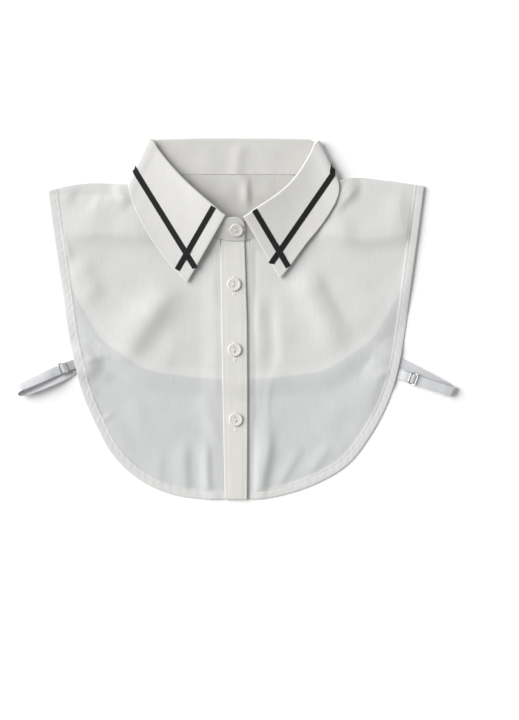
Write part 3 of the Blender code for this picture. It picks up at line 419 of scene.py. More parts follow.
def stitches(name, rows, material, pitch=3.0, length=2.2, radius=0.16):
    """Rows of stitches. Each is a grain whose radius is r * sqrt(1 - s^2), s from -1 to 1 along it.

    Its middle stands proud of the cloth and its ends dip into it, as a quarter of a sine.
    """
    s = np.repeat([-0.72, 0.0, 0.72], 5)
    angle = np.tile(2 * np.pi * np.arange(5) / 5, 3)
    s = np.concatenate([[-1.0], s, [1.0]])
    width = radius * np.sqrt(1.0 - s**2)
    side = width * np.concatenate([[0.0], np.cos(angle), [0.0]])
    lift = 0.8 * width * np.concatenate([[0.0], np.sin(angle), [0.0]])
    lift += radius * (np.cos(s * np.pi / 2) - 0.45)
    grain = [(0, 1 + (k + 1) % 5, 1 + k) for k in range(5)]
    for ring in (1, 6):
        grain += [(ring + k, ring + (k + 1) % 5, ring + 5 + (k + 1) % 5, ring + 5 + k)
                  for k in range(5)]
    grain += [(11 + k, 11 + (k + 1) % 5, 16) for k in range(5)]
    points, faces = [], []
    for path, up in rows:
        run = np.concatenate([[0.0], np.cumsum(np.linalg.norm(np.diff(path, axis=0), axis=1))])
        centres = np.arange(pitch / 2, run[-1] - pitch / 3, pitch)
        at = np.stack([np.interp(centres, run, path[:, k]) for k in range(3)], axis=-1)
        ahead = np.stack([np.interp(centres + length / 2, run, path[:, k])
                          - np.interp(centres - length / 2, run, path[:, k])
                          for k in range(3)], axis=-1)
        n = np.stack([np.interp(centres, run, up[:, k]) for k in range(3)], axis=-1)
        t = ahead / np.linalg.norm(ahead, axis=1, keepdims=True)
        b = np.cross(n, t)
        start = 17 * sum(len(p) for p in points)
        grains = (at[:, None] + t[:, None] * (s * length / 2)[:, None]
                  + b[:, None] * side[:, None] + n[:, None] * lift[:, None])
        points.append(grains)
        faces += [tuple(start + 17 * k + v for v in face)
                  for k in range(len(at)) for face in grain]
    obj = new_mesh(name, np.concatenate(points).reshape(-1, 3), faces, material)
    return obj


# The back cloth's grey tone is painted see-through shade of a single sheer layer, varied at random
# between these two colours.
plain_poplin = poplin("bleached_poplin", "#C9C8C4", "#C3C2BE")
white_thread = sewing_thread("white_spun_thread", "#E9E8E5")

xy, away = panel_plan(NECK_BACK, BACK_OUTER, BACK_SHOULDER_LEFT, BACK_SHOULDER_RIGHT, 190, 84,
                      BACK_SEAM_GAP)
height = BACK_MID + back_lift(xy) + folds_height(xy, BACK_FOLDS)
height += 0.5 * unevenness(xy, 3.0) * ease((away - 6.0) / 20.0) * ease((140.0 - xy[..., 1]) / 20)
from_neck = np.linalg.norm(xy - xy[:1], axis=-1)
neck_fold = 0.8 * bump_at((xy[0, :, 0] - 4.0) / 5.5)
neck_height = RING_AXIS_Z - STAND_TURN - NECK_TUCK + neck_fold
height += (neck_height - height[0]) * (1.0 - ease(from_neck / NECK_EASE))
height = np.maximum(height, CLOTH_WALL / 2 + 0.02)
hem_run = np.concatenate([[0.0], np.cumsum(np.linalg.norm(np.diff(xy[-1], axis=0), axis=1))])
band = hem_band(away, hem_run[None], 0.35, 1.7)
mid = np.dstack([xy, height])
back_cloth, top, up = cloth_piece("back_cloth", mid, CLOTH_WALL / 2 + band, CLOTH_WALL / 2, xy,
                                  plain_poplin, normals=upward(mid))
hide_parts("back_panel")
row = len(top) - len(BAND_DISTANCES) + BAND_DISTANCES.index(BAND_STITCH)
back_stitches = stitches("back_hem_stitches", [(top[row], up[row])], white_thread)

# Fronts
# Two fronts of the same poplin, one layer, a little sheer, so the back shows through them down
# to its curved hem: this is painted into their colour, as painted see-through shade where no
# back lies behind and painted see-through light over it. Sides and bottom have one turned hem
# with a row of topstitching, and each shoulder edge is rolled over the back's. Soft folds stay
# from the way that the cloth was laid.
FRONT_OVER_BACK = 1.8
OVERLAP_CLIMB = 1.45
TUCK_CLIMB = 0.93
CLIMB_START_X = -34.0
CLIMB_WIDTH = 17.0
HEM_DROP_START = 1.0
HEM_DROP = 20.0
SHOULDER_LEFT = [(-88.0, 128.8), (-90.0, 124.3), (-93.2, 121.6), (-98.0, 121.2),
                 (-135.5, 121.8), (-152.0, 119.4), (-169.0, 115.0)]
SHOULDER_RIGHT = [(85.7, 129.4), (87.4, 124.6), (92.5, 124.2), (99.0, 125.2),
                  (132.8, 123.6), (150.0, 121.9), (168.5, 119.3)]
OUTER_LEFT = [(-169.0, 115.0), (-163.7, 75.2), (-156.2, 24.8), (-147.9, -29.0),
              (-144.4, -42.4), (-140.0, -61.7), (-126.5, -94.5), (-111.6, -121.3),
              (-87.8, -143.6), (-58.1, -157.1), (-34.1, -160.9), (-10.4, -161.6)]
OUTER_RIGHT = [(168.5, 119.3), (163.1, 78.3), (157.5, 36.5), (151.2, -11.2),
               (146.2, -41.0), (138.7, -67.7), (120.8, -103.5), (100.0, -130.3),
               (73.2, -146.7), (49.3, -155.6), (25.5, -160.7), (12.6, -161.6)]
NECK_LEFT = [(-88.0, 128.8), (-65.0, 110.0), (-45.0, 92.2), (-30.0, 80.4), (-14.6, 72.6)]
NECK_RIGHT = [(85.7, 129.4), (66.0, 110.0), (45.0, 91.2), (28.0, 78.6), (12.6, 72.3)]
CENTRE_LEFT = [(-14.6, 72.6), (-14.5, 62.0), (-13.6, 50.0), (-11.3, -40.0), (-10.4, -161.6)]
CENTRE_RIGHT = [(12.6, 72.3), (12.6, -40.0), (12.6, -161.6)]
STAND_FOOT_SIDE = 5.6
STAND_FOOT_CENTRE = 3.75
LEFT_FOLDS = [
    (-160.0, 79.5, -56.0, 75.5, 34.0, 9.5, 2.8), (-112.0, 80.0, -66.0, 78.0, 12.0, 7.0, 0.6),
    (-152.0, 114.0, -122.0, 102.0, 8.0, 9.0, -1.2), (-114.0, 121.0, -94.0, 101.0, 4.0, 5.0, 0.7),
    (-120.0, 108.0, -96.0, 98.0, 5.0, 5.0, 0.5), (-158.0, 86.0, -151.0, 52.0, 4.0, 6.0, 0.7),
    (-148.0, 58.0, -120.0, 12.0, 9.0, 10.0, 1.5), (-53.0, 35.0, -114.0, -48.0, 10.5, 13.0, 2.5),
    (-38.0, 34.0, -130.0, -30.0, 15.0, 13.0, 1.8), (-55.0, -4.0, -68.0, -50.0, 8.0, 12.0, 0.5),
    (-146.0, -40.0, -112.0, -34.0, 3.5, 3.0, 0.6), (-146.0, -44.0, -108.0, -58.0, 5.0, 3.5, 0.9),
    (-145.0, -48.0, -120.0, -76.0, 4.0, 4.0, 0.7), (-132.0, -98.0, -106.0, -85.0, 3.0, 2.5, 0.7),
    (-52.0, -104.0, -40.0, -168.0, 4.5, 8.0, 1.1), (-32.0, -104.0, -19.0, -180.0, 3.6, 6.0, 1.6),
    (-71.0, -110.0, -67.0, -168.0, 4.0, 14.0, 0.6), (-90.0, -62.0, -84.0, -116.0, 8.0, 9.0, 0.5),
    (-27.0, -60.0, -23.0, -112.0, 5.0, 8.0, 0.5), (-120.0, -84.0, -94.0, -128.0, 9.0, 12.0, 0.6),
]
RIGHT_FOLDS = [
    (58.0, 76.0, 180.0, 77.0, 34.0, 9.5, 3.1), (66.0, 80.0, 112.0, 76.0, 12.0, 9.0, 0.9),
    (145.0, 124.0, 151.0, 66.0, 6.0, 10.0, 0.7), (110.0, 126.0, 86.0, 90.0, 4.5, 6.0, 1.3),
    (101.0, 124.0, 86.0, 102.0, 3.0, 3.0, 0.6), (50.0, 48.0, 96.0, -32.0, 11.0, 12.0, 2.7),
    (60.0, 48.0, 102.0, -18.0, 6.5, 9.0, 1.1), (34.0, 40.0, 29.0, -60.0, 6.0, 7.5, -0.6),
    (22.0, 36.0, 19.0, -40.0, 8.0, 6.0, 0.6), (42.0, 20.0, 36.0, -60.0, 9.0, 6.0, 0.5),
    (33.0, -40.0, 28.0, -100.0, 2.4, 4.0, 0.35), (27.5, -80.0, 22.0, -195.0, 5.5, 11.0, 2.3),
    (58.0, -112.0, 36.0, -158.0, 4.0, 7.0, 0.8), (84.0, -110.0, 64.0, -146.0, 4.0, 7.0, 0.7),
    (136.0, -4.0, 116.0, -96.0, 10.0, 16.0, 1.1), (146.0, -44.0, 122.0, -52.0, 3.0, 4.0, 0.5),
    (100.0, -70.0, 74.0, -112.0, 9.0, 14.0, 0.5),
]
# Straps hidden under a front: the ends of each run, and how high they hold the front
STRAPS_UNDER_LEFT = [(-126.0, -24.0, -146.0, -45.0, 1.3), (-138.0, -38.0, -147.0, -41.0, 2.5)]
STRAPS_UNDER_RIGHT = [(126.0, -23.0, 148.0, -39.0, 1.25), (131.0, -45.0, 147.0, -49.6, 1.25)]
RIBBON_HALF = 4.0
STRAP_SHOW = -0.3
SHOULDER_CLEAR = 1.15
PLACKET_LIFT = 0.75
BACK_OUTLINE = smooth_curve(BACK_OUTER, 160)


def front_base(xy):
    """Height of a front's underside: over the back panel, then down past the back's hem."""
    past = -depth_inside(xy, BACK_OUTLINE)
    return FRONT_OVER_BACK * (1.0 - ease((past - HEM_DROP_START) / HEM_DROP)) + back_lift(xy)


def stand_foot_left(t):
    """Height of the neck seam of the left front, from the side to the centre."""
    return STAND_FOOT_SIDE + (STAND_FOOT_CENTRE + OVERLAP_CLIMB - STAND_FOOT_SIDE) * ease(t)


def stand_foot_right(t):
    """Height of the neck seam of the right front, from the side to the centre."""
    return STAND_FOOT_SIDE + (STAND_FOOT_CENTRE - STAND_FOOT_SIDE) * ease(t)


def front(side, neck, outer, shoulder, centre, foot, folds, straps, seed):
    """One front: base height, plus folds and slack, eased up to the stand's foot.

    The shoulder edge goes on as a half turn of radius r down to the back panel: out by
    r sin(angle) and down by r (1 - cos(angle)).
    """
    xy, away = panel_plan(neck, outer, shoulder, centre, 172, 118, SEAM_GAP)
    base = front_base(xy)
    for x1, y1, x2, y2, held in straps:
        near = segment_distance(xy, x1, y1, x2, y2)
        base = np.maximum(base, held * (1.0 - ease((near - 5.5) / 16.0)))
    from_centre = line_distance(xy, centre)
    settle = ease((away - 2.0) / 14.0) * ease(from_centre / 9.0)
    height = base + CLOTH_WALL / 2
    height += folds_height(xy, folds) * (0.3 + 0.7 * ease((away - 6.0) / 4.0)) * ease(
        (from_centre - 1.0) / 5.0)
    height += (unevenness(xy, seed) + 0.3) * settle
    if side == "left":
        height += TUCK_CLIMB * ease((xy[..., 0] - CLIMB_START_X) / CLIMB_WIDTH)
    else:
        height += PLACKET_LIFT * (1.0 - ease((xy[..., 0] - 12.0) / 6.0))
    from_neck = np.linalg.norm(xy - xy[:1], axis=-1)
    t = np.linspace(0.0, 1.0, xy.shape[1])
    height += (foot(t) - height[0]) * (1.0 - ease(from_neck / NECK_EASE))
    height = np.maximum(height, CLOTH_WALL / 2 + 0.14)
    mid = np.dstack([xy, height])
    hem_run = np.concatenate([[0.0], np.cumsum(np.linalg.norm(np.diff(xy[-1], axis=0), axis=1))])
    free = np.clip((abs(xy[..., 0]) - 14.6) / 2.0, 0.0, 1.0)
    band = hem_band(away, hem_run[None], 0.38, seed) * free

    edge = mid[:, 0]
    out = edge - mid[:, 1]
    out[:, 2] = 0.0
    out /= np.linalg.norm(out, axis=1, keepdims=True)
    radius = (edge[:, 2] - BACK_MID - back_lift(edge[:, :2]) - SHOULDER_CLEAR) / 2
    radius = np.maximum(radius, 0.2)
    turn = []
    for angle in np.radians([150.0, 125.0, 100.0, 75.0, 50.0, 25.0]):
        turn.append(edge + out * (radius * np.sin(angle))[:, None]
                    - np.array([0.0, 0.0, 1.0]) * (radius * (1 - np.cos(angle)))[:, None])
    turn = np.stack(turn, axis=1)
    mid = np.concatenate([turn, mid], axis=1)
    band = np.concatenate([np.repeat(band[:, :1], 6, axis=1), band], axis=1)
    # back_edge carries the painted see-through tone: a front is painted lighter where the back, its
    # own hem band, the shoulders or a strap lie under it.
    back_edge = depth_inside(mid[..., :2], BACK_OUTLINE)
    doubled = np.concatenate([np.repeat(away[:, :1], 6, axis=1), away], axis=1)
    back_edge = np.maximum(back_edge, BAND_WIDTH + 0.4 - doubled)
    back_edge = np.maximum(back_edge, 15.0 * ease((mid[..., 1] - 108.0) / 6.0) - 3.0)
    for x1, y1, x2, y2, _ in straps:
        on_strap = RIBBON_HALF - segment_distance(mid[..., :2], x1, y1, x2, y2)
        back_edge = np.maximum(back_edge, np.minimum(0.7 * on_strap, STRAP_SHOW))
    obj, top, up = cloth_piece(f"front_cloth_{side}", mid, CLOTH_WALL / 2 + band, CLOTH_WALL / 2,
                               mid[..., :2], sheer_poplin, normals=upward(mid),
                               back_edge=back_edge)
    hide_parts(f"front_{side}")
    row = len(top) - len(BAND_DISTANCES) + BAND_DISTANCES.index(BAND_STITCH)
    rows = [(top[row, 8:-3], up[row, 8:-3])]
    shoulder_row = 11
    rows.append((top[12:-4, shoulder_row], up[12:-4, shoulder_row]))
    sewn = stitches(f"front_stitches_{side}", rows, white_thread)
    return obj


# Backed tone is painted see-through light over the back, the single tone painted see-through shade
# where none lies behind.
sheer_poplin = poplin("sheer_bleached_poplin", "#D0D0CF", "#C7C8C8", two_tone=True)
front("left", NECK_LEFT, OUTER_LEFT, SHOULDER_LEFT, CENTRE_LEFT, stand_foot_left, LEFT_FOLDS,
      STRAPS_UNDER_LEFT, 0.4)
front("right", NECK_RIGHT, OUTER_RIGHT, SHOULDER_RIGHT, CENTRE_RIGHT, stand_foot_right,
      RIGHT_FOLDS, STRAPS_UNDER_RIGHT, 2.1)

# Placket
# The button stand of the opening: the upper strip of folded poplin laps over the under strip.
# Both are pressed flat and topstitched along their long edges, and hold three buttonholes.
PLACKET_TOP_Y = 71.6
PLACKET_FOOT_Y = -161.4
PLACKET_WALL = 0.9
# x of the two edges at each y, top strip first
TOP_STRIP = [(71.6, -14.0, 6.9), (40.0, -13.8, 7.9), (0.0, -13.2, 9.2), (-60.0, -12.2, 9.6),
             (-120.0, -11.0, 9.5), (-161.4, -10.2, 9.3)]
UNDER_STRIP = [(71.6, -10.0, 12.0), (-161.4, -6.4, 12.0)]
STRIP_STITCH = 2.3
FOOT_TUCK = 0.95
TOP_STRIP_CLIMB = 1.85


def strip(name, table, above, wall, node):
    """A placket strip: columns run across it, pillowed between its two rows of stitches.

    Its height is that of the fronts' underside plus what lies between, and eases up to the
    stand's foot near the neck.
    """
    y = np.linspace(PLACKET_TOP_Y, PLACKET_FOOT_Y, 150)
    table = np.array(table)
    left = np.interp(-y, -table[:, 0], table[:, 1])[:, None]
    right = np.interp(-y, -table[:, 0], table[:, 2])[:, None]
    inset = np.array([0.0, 0.4, 1.0, 1.7, STRIP_STITCH, 2.9, 4.5])
    width = right - left
    middle = np.linspace(0.0, 1.0, 9)[None, 1:-1] * (width - 9.0) + 4.5
    across = np.concatenate([np.repeat(inset[None], len(y), axis=0), middle,
                             width - inset[None, ::-1]], axis=1)
    x = left + across
    xy = np.dstack([x, np.repeat(y[:, None], x.shape[1], axis=1)])
    mid = front_base(xy) + 0.5 + above
    mid += 0.10 * np.sin(y[:, None] / 9.0 + x / 11.0) * ease((y[:, None] + 161.0) / 12.0)
    rise = STAND_FOOT_CENTRE + min(above, OVERLAP_CLIMB) - FOOT_TUCK - mid[0]
    mid += rise * (1.0 - ease((PLACKET_TOP_Y - xy[..., 1]) / NECK_EASE))
    inside = np.minimum(across, width - across)
    pillow = 0.08 * ease((inside - STRIP_STITCH) / 3.0) * ease((width - inside) / width)
    groove = 0.07 * bump_at((inside - STRIP_STITCH) / 0.5)
    up = wall / 2 + pillow - groove - 0.1 * ease((0.6 - inside) / 0.6)
    mid = np.dstack([xy, mid])
    obj, top, normals = cloth_piece(name, mid, up, wall / 2, xy, placket_poplin,
                                    normals=upward(mid))
    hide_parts(node)
    sewn = stitches(name + "_stitches", [(top[2:-2, c], normals[2:-2, c]) for c in (4, -5)],
                    white_thread)
    return obj, sewn


placket_poplin = poplin("folded_poplin", "#D8D7D3", "#D2D1CC")
under_strip, under_sewn = strip("placket_under_strip", UNDER_STRIP, 0.0, CLOTH_WALL * 1.6,
                                "placket_under")
top_strip, top_sewn = strip("placket_top_strip", TOP_STRIP, TOP_STRIP_CLIMB, PLACKET_WALL,
                            "placket_top")

# Stand
# The collar band: two layers of poplin with interlining, all round the neck. Its ends lap at the
# front and are rounded at the top; the leaf rolls over its upper edge.
STAND_WALL = 0.9
STAND_TOP = 1.5
STAND_LAP_TOP = 0.2
STAND_CENTRE_HIGH = 13.0
OVERLAP_STEP = 1.8
STAND_CORNER = 8.0
TURN_ANGLES = (60.0, 30.0, 0.0, -45.0)
RUN_COLUMNS, LAP_COLUMNS, BEHIND_COLUMNS = 10, 5, 21
NECK_LAP_LEFT = [(-14.6, 72.6), (-7.0, 70.9), (0.0, 70.7), (7.4, 70.9)]
NECK_LAP_RIGHT = [(12.6, 72.3), (7.0, 71.3), (0.0, 70.9), (-8.0, 70.9)]
FOLD_LEFT = [(-76.4, 161.6), (-61.3, 141.7), (-45.5, 124.6), (-31.0, 111.4),
             (-21.7, 103.4), (-9.8, 93.9)]
FOLD_RIGHT = [(71.6, 159.2), (63.8, 145.0), (53.2, 128.8), (40.2, 115.5), (27.0, 106.2),
              (16.5, 99.4), (6.4, 92.4)]
FOLD_LAP_LEFT = [(-9.8, 93.9), (-3.0, 91.9), (3.0, 91.2), (7.4, 91.0)]
FOLD_LAP_RIGHT = [(6.4, 92.4), (2.0, 91.3), (-3.0, 91.0), (-8.0, 91.0)]
FOLD_BACK = [(-76.4, 161.6), (-45.0, 162.6), (0.0, 162.8), (42.0, 162.6),
             (58.0, 162.3), (66.5, 161.5), (71.6, 159.2)]


def refined(points, steps):
    """The line through the points, each interval cut into its number of steps, by cubics."""
    chord = np.concatenate([[0.0], np.cumsum(np.linalg.norm(np.diff(points, axis=0), axis=1))])
    index = np.concatenate([k + np.arange(n) / n for k, n in enumerate(steps)] + [[len(steps)]])
    return cubic(points, chord, np.interp(index, np.arange(len(points)), chord))


def half_turn(axis_fold, axis_neck):
    """Points on the half turn at the side: the axis, plus the radius at each turn angle."""
    axis_fold = np.array([*axis_fold, RING_AXIS_Z])
    axis_neck = np.array([*axis_neck, RING_AXIS_Z])
    down = (axis_neck - axis_fold) / np.linalg.norm(axis_neck - axis_fold)
    out = np.array([down[1], -down[0], 0.0])
    out *= np.sign(out[0] * axis_fold[0])
    angles = np.radians(TURN_ANGLES)[:, None]
    ring = STAND_TURN * (np.cos(angles) * out + np.sin(angles) * np.array([0.0, 0.0, 1.0]))
    return axis_fold + ring, axis_neck + ring


def run_of(plan, heights):
    """A line with its heights: the plan curve at even fractions, and z beside it."""
    heights = np.atleast_1d(heights)
    return np.column_stack([smooth_curve(plan, len(heights)), heights])


t = np.linspace(0.0, 1.0, RUN_COLUMNS)
side_z = RING_AXIS_Z + STAND_TURN
right_top = STAND_CENTRE_HIGH - OVERLAP_STEP
left_z = side_z + (STAND_CENTRE_HIGH - side_z) * ease(t) ** 0.8
right_z = side_z + (right_top - side_z) * ease(t) ** 0.8
lap = np.ones(LAP_COLUMNS + 1)
behind_z = np.full(BEHIND_COLUMNS, RING_AXIS_Z - STAND_TURN)
fold_turn_l, neck_turn_l = half_turn(FOLD_LEFT[0], NECK_LEFT[0])
fold_turn_r, neck_turn_r = half_turn(FOLD_RIGHT[0], NECK_RIGHT[0])
ring_fold = np.concatenate([
    run_of(FOLD_LAP_LEFT, lap * STAND_CENTRE_HIGH)[:0:-1], run_of(FOLD_LEFT, left_z)[::-1],
    fold_turn_l, run_of(FOLD_BACK, behind_z), fold_turn_r[::-1], run_of(FOLD_RIGHT, right_z),
    run_of(FOLD_LAP_RIGHT, lap * right_top)[1:]])
ring_neck = np.concatenate([
    run_of(NECK_LAP_LEFT, lap * stand_foot_left(1.0))[:0:-1],
    run_of(NECK_LEFT, stand_foot_left(t))[::-1], neck_turn_l, run_of(NECK_BACK, behind_z),
    neck_turn_r[::-1], run_of(NECK_RIGHT, stand_foot_right(t)),
    run_of(NECK_LAP_RIGHT, lap * stand_foot_right(1.0))[1:]])
LAP_STEPS, RUN_STEPS, TURN_STEPS, BEHIND_STEPS = [3] * 5, [6] * 9, [3] * 5, [3] * 20
ring_steps = (LAP_STEPS + RUN_STEPS + TURN_STEPS + BEHIND_STEPS + TURN_STEPS + RUN_STEPS
              + LAP_STEPS)
fold_line, neck_line = refined(ring_fold, ring_steps), refined(ring_neck, ring_steps)
lap_count = sum(LAP_STEPS)

down = neck_line - fold_line
tall = np.linalg.norm(down, axis=1, keepdims=True)
down /= tall
ends = np.array([np.linalg.norm(fold_line[:, :2] - fold_line[k, :2], axis=1) for k in (0, -1)])
short = np.clip(STAND_CORNER - ends.min(axis=0), 0.0, STAND_CORNER)
short[lap_count + 6:-lap_count - 6] = 0.0
corner = STAND_CORNER - np.sqrt(STAND_CORNER**2 - short**2)
order = np.arange(len(fold_line))
under_leaf = ease((np.minimum(order, len(order) - 1 - order) - (lap_count - 3)) / 3.0)
start = STAND_LAP_TOP + (STAND_TOP - STAND_LAP_TOP) * under_leaf + 0.85 * corner
w = np.linspace(0.0, 1.0, 25)[:, None, None]
stand_mid = fold_line + down * (start[:, None] + (tall - start[:, None]) * w)
behind = (stand_mid[..., 2] < RING_AXIS_Z - STAND_TURN + 0.01)
stand_wave = (1.0 * bump_at((stand_mid[..., 0] - 1.6 + 4.0 * (w[..., 0] - 0.5)) / 5.5)
              + 0.3 * bump_at((stand_mid[..., 0] + 26.0) / 7.0)
              + 0.25 * bump_at((stand_mid[..., 0] - 30.0) / 8.0))
stand_mid[..., 2] += np.where(behind, stand_wave * ease(w[..., 0] / 0.35), 0.0)
stand_cut = np.dstack([
    np.repeat(np.cumsum(np.linalg.norm(np.gradient(neck_line, axis=0), axis=1))[None], 25, 0),
    (start + (tall[:, 0] - start) * w[..., 0])])
stand_poplin = poplin("interlined_poplin", "#CFCECA", "#C9C8C4")
inside = np.minimum(w[..., 0], 1.0 - w[..., 0]) * (tall[:, 0] - start)
groove = 0.12 * bump_at((inside - 1.6) / 0.5)
stand_cloth, stand_top, stand_up = cloth_piece(
    "stand_cloth", stand_mid, STAND_WALL / 2 - groove, STAND_WALL / 2 - groove, stand_cut,
    stand_poplin, normals=grid_normals(stand_mid))
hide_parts("collar_stand")
inner = stand_mid - stand_up * (STAND_WALL / 2 - 0.1)
r = 23
stand_sewn = stitches("stand_stitches", [(stand_top[r], stand_up[r]), (inner[r], -stand_up[r])],
                      white_thread, pitch=2.6, length=1.9)

# Leaf
# The fold-down collar: two layers of poplin with a fused interlining, turned out to two points.
# It rolls over the top of the stand and lies in front of it, and flat under the back behind.
LEAF_WALL = 0.9
LEAF_START = 1.0
ROLL_RADIUS = 0.925
LEAF_DRAPE = 1.5
LEAF_BACK_Z = 0.98
LEAF_LEFT = [(-44.6, 33.3, 5.2), (-54.5, 43.6, 5.3), (-63.9, 54.5, 5.6), (-73.2, 67.6, 6.2),
             (-81.8, 81.3, 6.8), (-89.2, 95.6, 7.1), (-94.0, 107.0, 7.1), (-96.0, 115.6, 7.2)]
LEAF_TURN_LEFT = [(-97.0, 119.6, 6.8), (-96.4, 123.0, 5.8), (-94.7, 124.6, 4.1),
                  (-93.5, 124.4, 1.75)]
LEAF_BACK = [(-90.6, 121.6, LEAF_BACK_Z), (-80.0, 118.4, LEAF_BACK_Z),
             (-40.0, 118.0, LEAF_BACK_Z), (0.0, 118.0, LEAF_BACK_Z), (40.0, 118.0, LEAF_BACK_Z),
             (68.0, 118.4, LEAF_BACK_Z), (79.0, 120.2, LEAF_BACK_Z), (86.0, 124.5, LEAF_BACK_Z)]
LEAF_TURN_RIGHT = [(88.4, 127.9, 1.75), (89.7, 128.4, 4.1), (90.6, 126.8, 5.9),
                   (91.6, 122.6, 6.8)]
LEAF_RIGHT = [(92.2, 117.0, 7.1), (89.6, 106.8, 6.9), (84.4, 97.2, 6.5), (74.8, 83.0, 6.3),
              (63.4, 69.4, 5.6), (54.6, 57.4, 5.4), (46.8, 46.6, 5.3), (39.1, 37.2, 5.2)]

edge_points = np.concatenate([
    smooth_curve(LEAF_LEFT, RUN_COLUMNS), LEAF_TURN_LEFT, smooth_curve(LEAF_BACK, BEHIND_COLUMNS),
    LEAF_TURN_RIGHT, smooth_curve(LEAF_RIGHT, RUN_COLUMNS)])
leaf_steps = ring_steps[5:-5]
leaf_edge = refined(edge_points, leaf_steps)
leaf_fold, leaf_neck = fold_line[lap_count:-lap_count], neck_line[lap_count:-lap_count]
out = np.cross(np.gradient(leaf_fold, axis=0), leaf_neck - leaf_fold)
out /= np.linalg.norm(out, axis=1, keepdims=True)
fall = leaf_edge - leaf_fold
fall -= out * np.sum(fall * out, axis=1, keepdims=True)
fall /= np.linalg.norm(fall, axis=1, keepdims=True)
hub = leaf_fold + fall * LEAF_START + out * ROLL_RADIUS
roll_angles = np.radians(np.arange(0.0, 171.0, 18.0))
# A point of the roll is the hub plus the radius in the direction -sin(angle) fall - cos(angle) out
away = np.array([-np.sin(angle) * fall - np.cos(angle) * out for angle in roll_angles])
roll = hub + ROLL_RADIUS * away
roll_top = hub + out * ROLL_RADIUS
w = np.linspace(0.0, 1.0, 44)[:, None]
drape = roll_top[None] + (leaf_edge - roll_top)[None] * w[..., None]
drape[..., 2] = leaf_edge[:, 2] + (roll_top[:, 2] - leaf_edge[:, 2]) * (1.0 - w) ** LEAF_DRAPE
leaf_mid = np.concatenate([roll, drape])
leaf_mid[..., 2] = np.maximum(leaf_mid[..., 2], LEAF_BACK_Z)
leaf_up = np.concatenate([away, grid_normals(drape)])
along_edge = np.cumsum(np.linalg.norm(np.gradient(leaf_edge, axis=0), axis=1))
leaf_down = np.cumsum(np.linalg.norm(np.gradient(leaf_mid, axis=0), axis=-1), axis=0)
leaf_cut = np.dstack([np.repeat(along_edge[None], len(leaf_mid), 0), leaf_down])
leaf_poplin = poplin("fused_poplin", "#D9D8D6", "#D3D2CF")
leaf_cloth, leaf_top, _ = cloth_piece("leaf_cloth", leaf_mid, LEAF_WALL / 2, LEAF_WALL / 2,
                                      leaf_cut, leaf_poplin, normals=leaf_up)
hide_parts("collar_leaf")

# Tape
# Black woven rib tape, 5 mm wide, sewn flat on the leaf with black thread. One run follows the
# outer edge all round the neck, and a short one crosses it at each point of the collar.
TAPE_WIDTH = 5.0
TAPE_WALL = 0.26
TAPE_CROSS_LIFT = 0.3
TAPES = {  # where the tape starts, where it leaves the front, and the crossing
    "edge_left": ((-36.4, 45.2), (-88.6, 129.3), None),
    "front_left": ((-53.2, 44.6), (-20.4, 100.6), (-46.8, 59.7)),
    "edge_right": ((29.8, 48.4), (86.2, 129.8), None),
    "front_right": ((46.6, 47.1), (16.2, 97.8), (38.4, 60.9)),
}
tape_rib = bpy.data.materials.new("black_rib_tape")
tape_rib.use_nodes = True
tree = tape_rib.node_tree
shader = tree.nodes["Principled BSDF"]
# Woven polyester: ribs cross the tape 1 mm apart, between two plain selvedges. Matt, near black.
# Its colour follows the ribs' height: painted shade in their hollows and painted light on their
# tops, with random fuzz tone mixed in.
uv = add_node(tree, "ShaderNodeUVMap", {"uv_map": "cut"}, {}).outputs[0]
split = add_node(tree, "ShaderNodeSeparateXYZ", {}, {0: uv})
ribs = add_node(tree, "ShaderNodeMath", {"operation": "MULTIPLY"},
                {0: split.outputs[0], 1: 2 * math.pi / 0.001})
ribs = add_node(tree, "ShaderNodeMath", {"operation": "SINE"}, {0: ribs.outputs[0]})
fuzz = add_node(tree, "ShaderNodeTexNoise", {}, {"Vector": uv, "Scale": 900.0, "Detail": 3.0})
height = add_node(tree, "ShaderNodeMath", {"operation": "MULTIPLY_ADD"},
                  {0: fuzz.outputs[0], 1: 1.2, 2: ribs.outputs[0]})
bump = add_node(tree, "ShaderNodeBump", {}, {"Strength": 0.7, "Distance": 0.0001,
                                             "Height": height.outputs[0]})
# Painted shade and light: the colour goes darker in the rib hollows and lighter on their tops.
tone = add_node(tree, "ShaderNodeMapRange", {}, {0: height.outputs[0], 1: -1.0, 2: 2.0})
tone = add_node(tree, "ShaderNodeMix", {"data_type": "RGBA"},
                {0: tone.outputs[0], 6: linear("#09090A"), 7: linear("#151517")})
tree.links.new(tone.outputs[2], shader.inputs["Base Color"])
tree.links.new(bump.outputs[0], shader.inputs["Normal"])
shader.inputs["Roughness"].default_value = 0.72
shader.inputs["Specular IOR Level"].default_value = 0.3
shader.inputs["Sheen Weight"].default_value = 0.1
black_thread = sewing_thread("black_spun_thread", "#202022")


def surface_at(grid, row, column):
    """Bilinear blend of the four grid points round each fractional row and column."""
    i = np.clip(row.astype(int), 0, grid.shape[0] - 2)
    j = np.clip(column.astype(int), 0, grid.shape[1] - 2)
    a, b = (row - i)[:, None], (column - j)[:, None]
    return ((1 - a) * (1 - b) * grid[i, j] + (1 - a) * b * grid[i, j + 1]
            + a * (1 - b) * grid[i + 1, j] + a * b * grid[i + 1, j + 1])


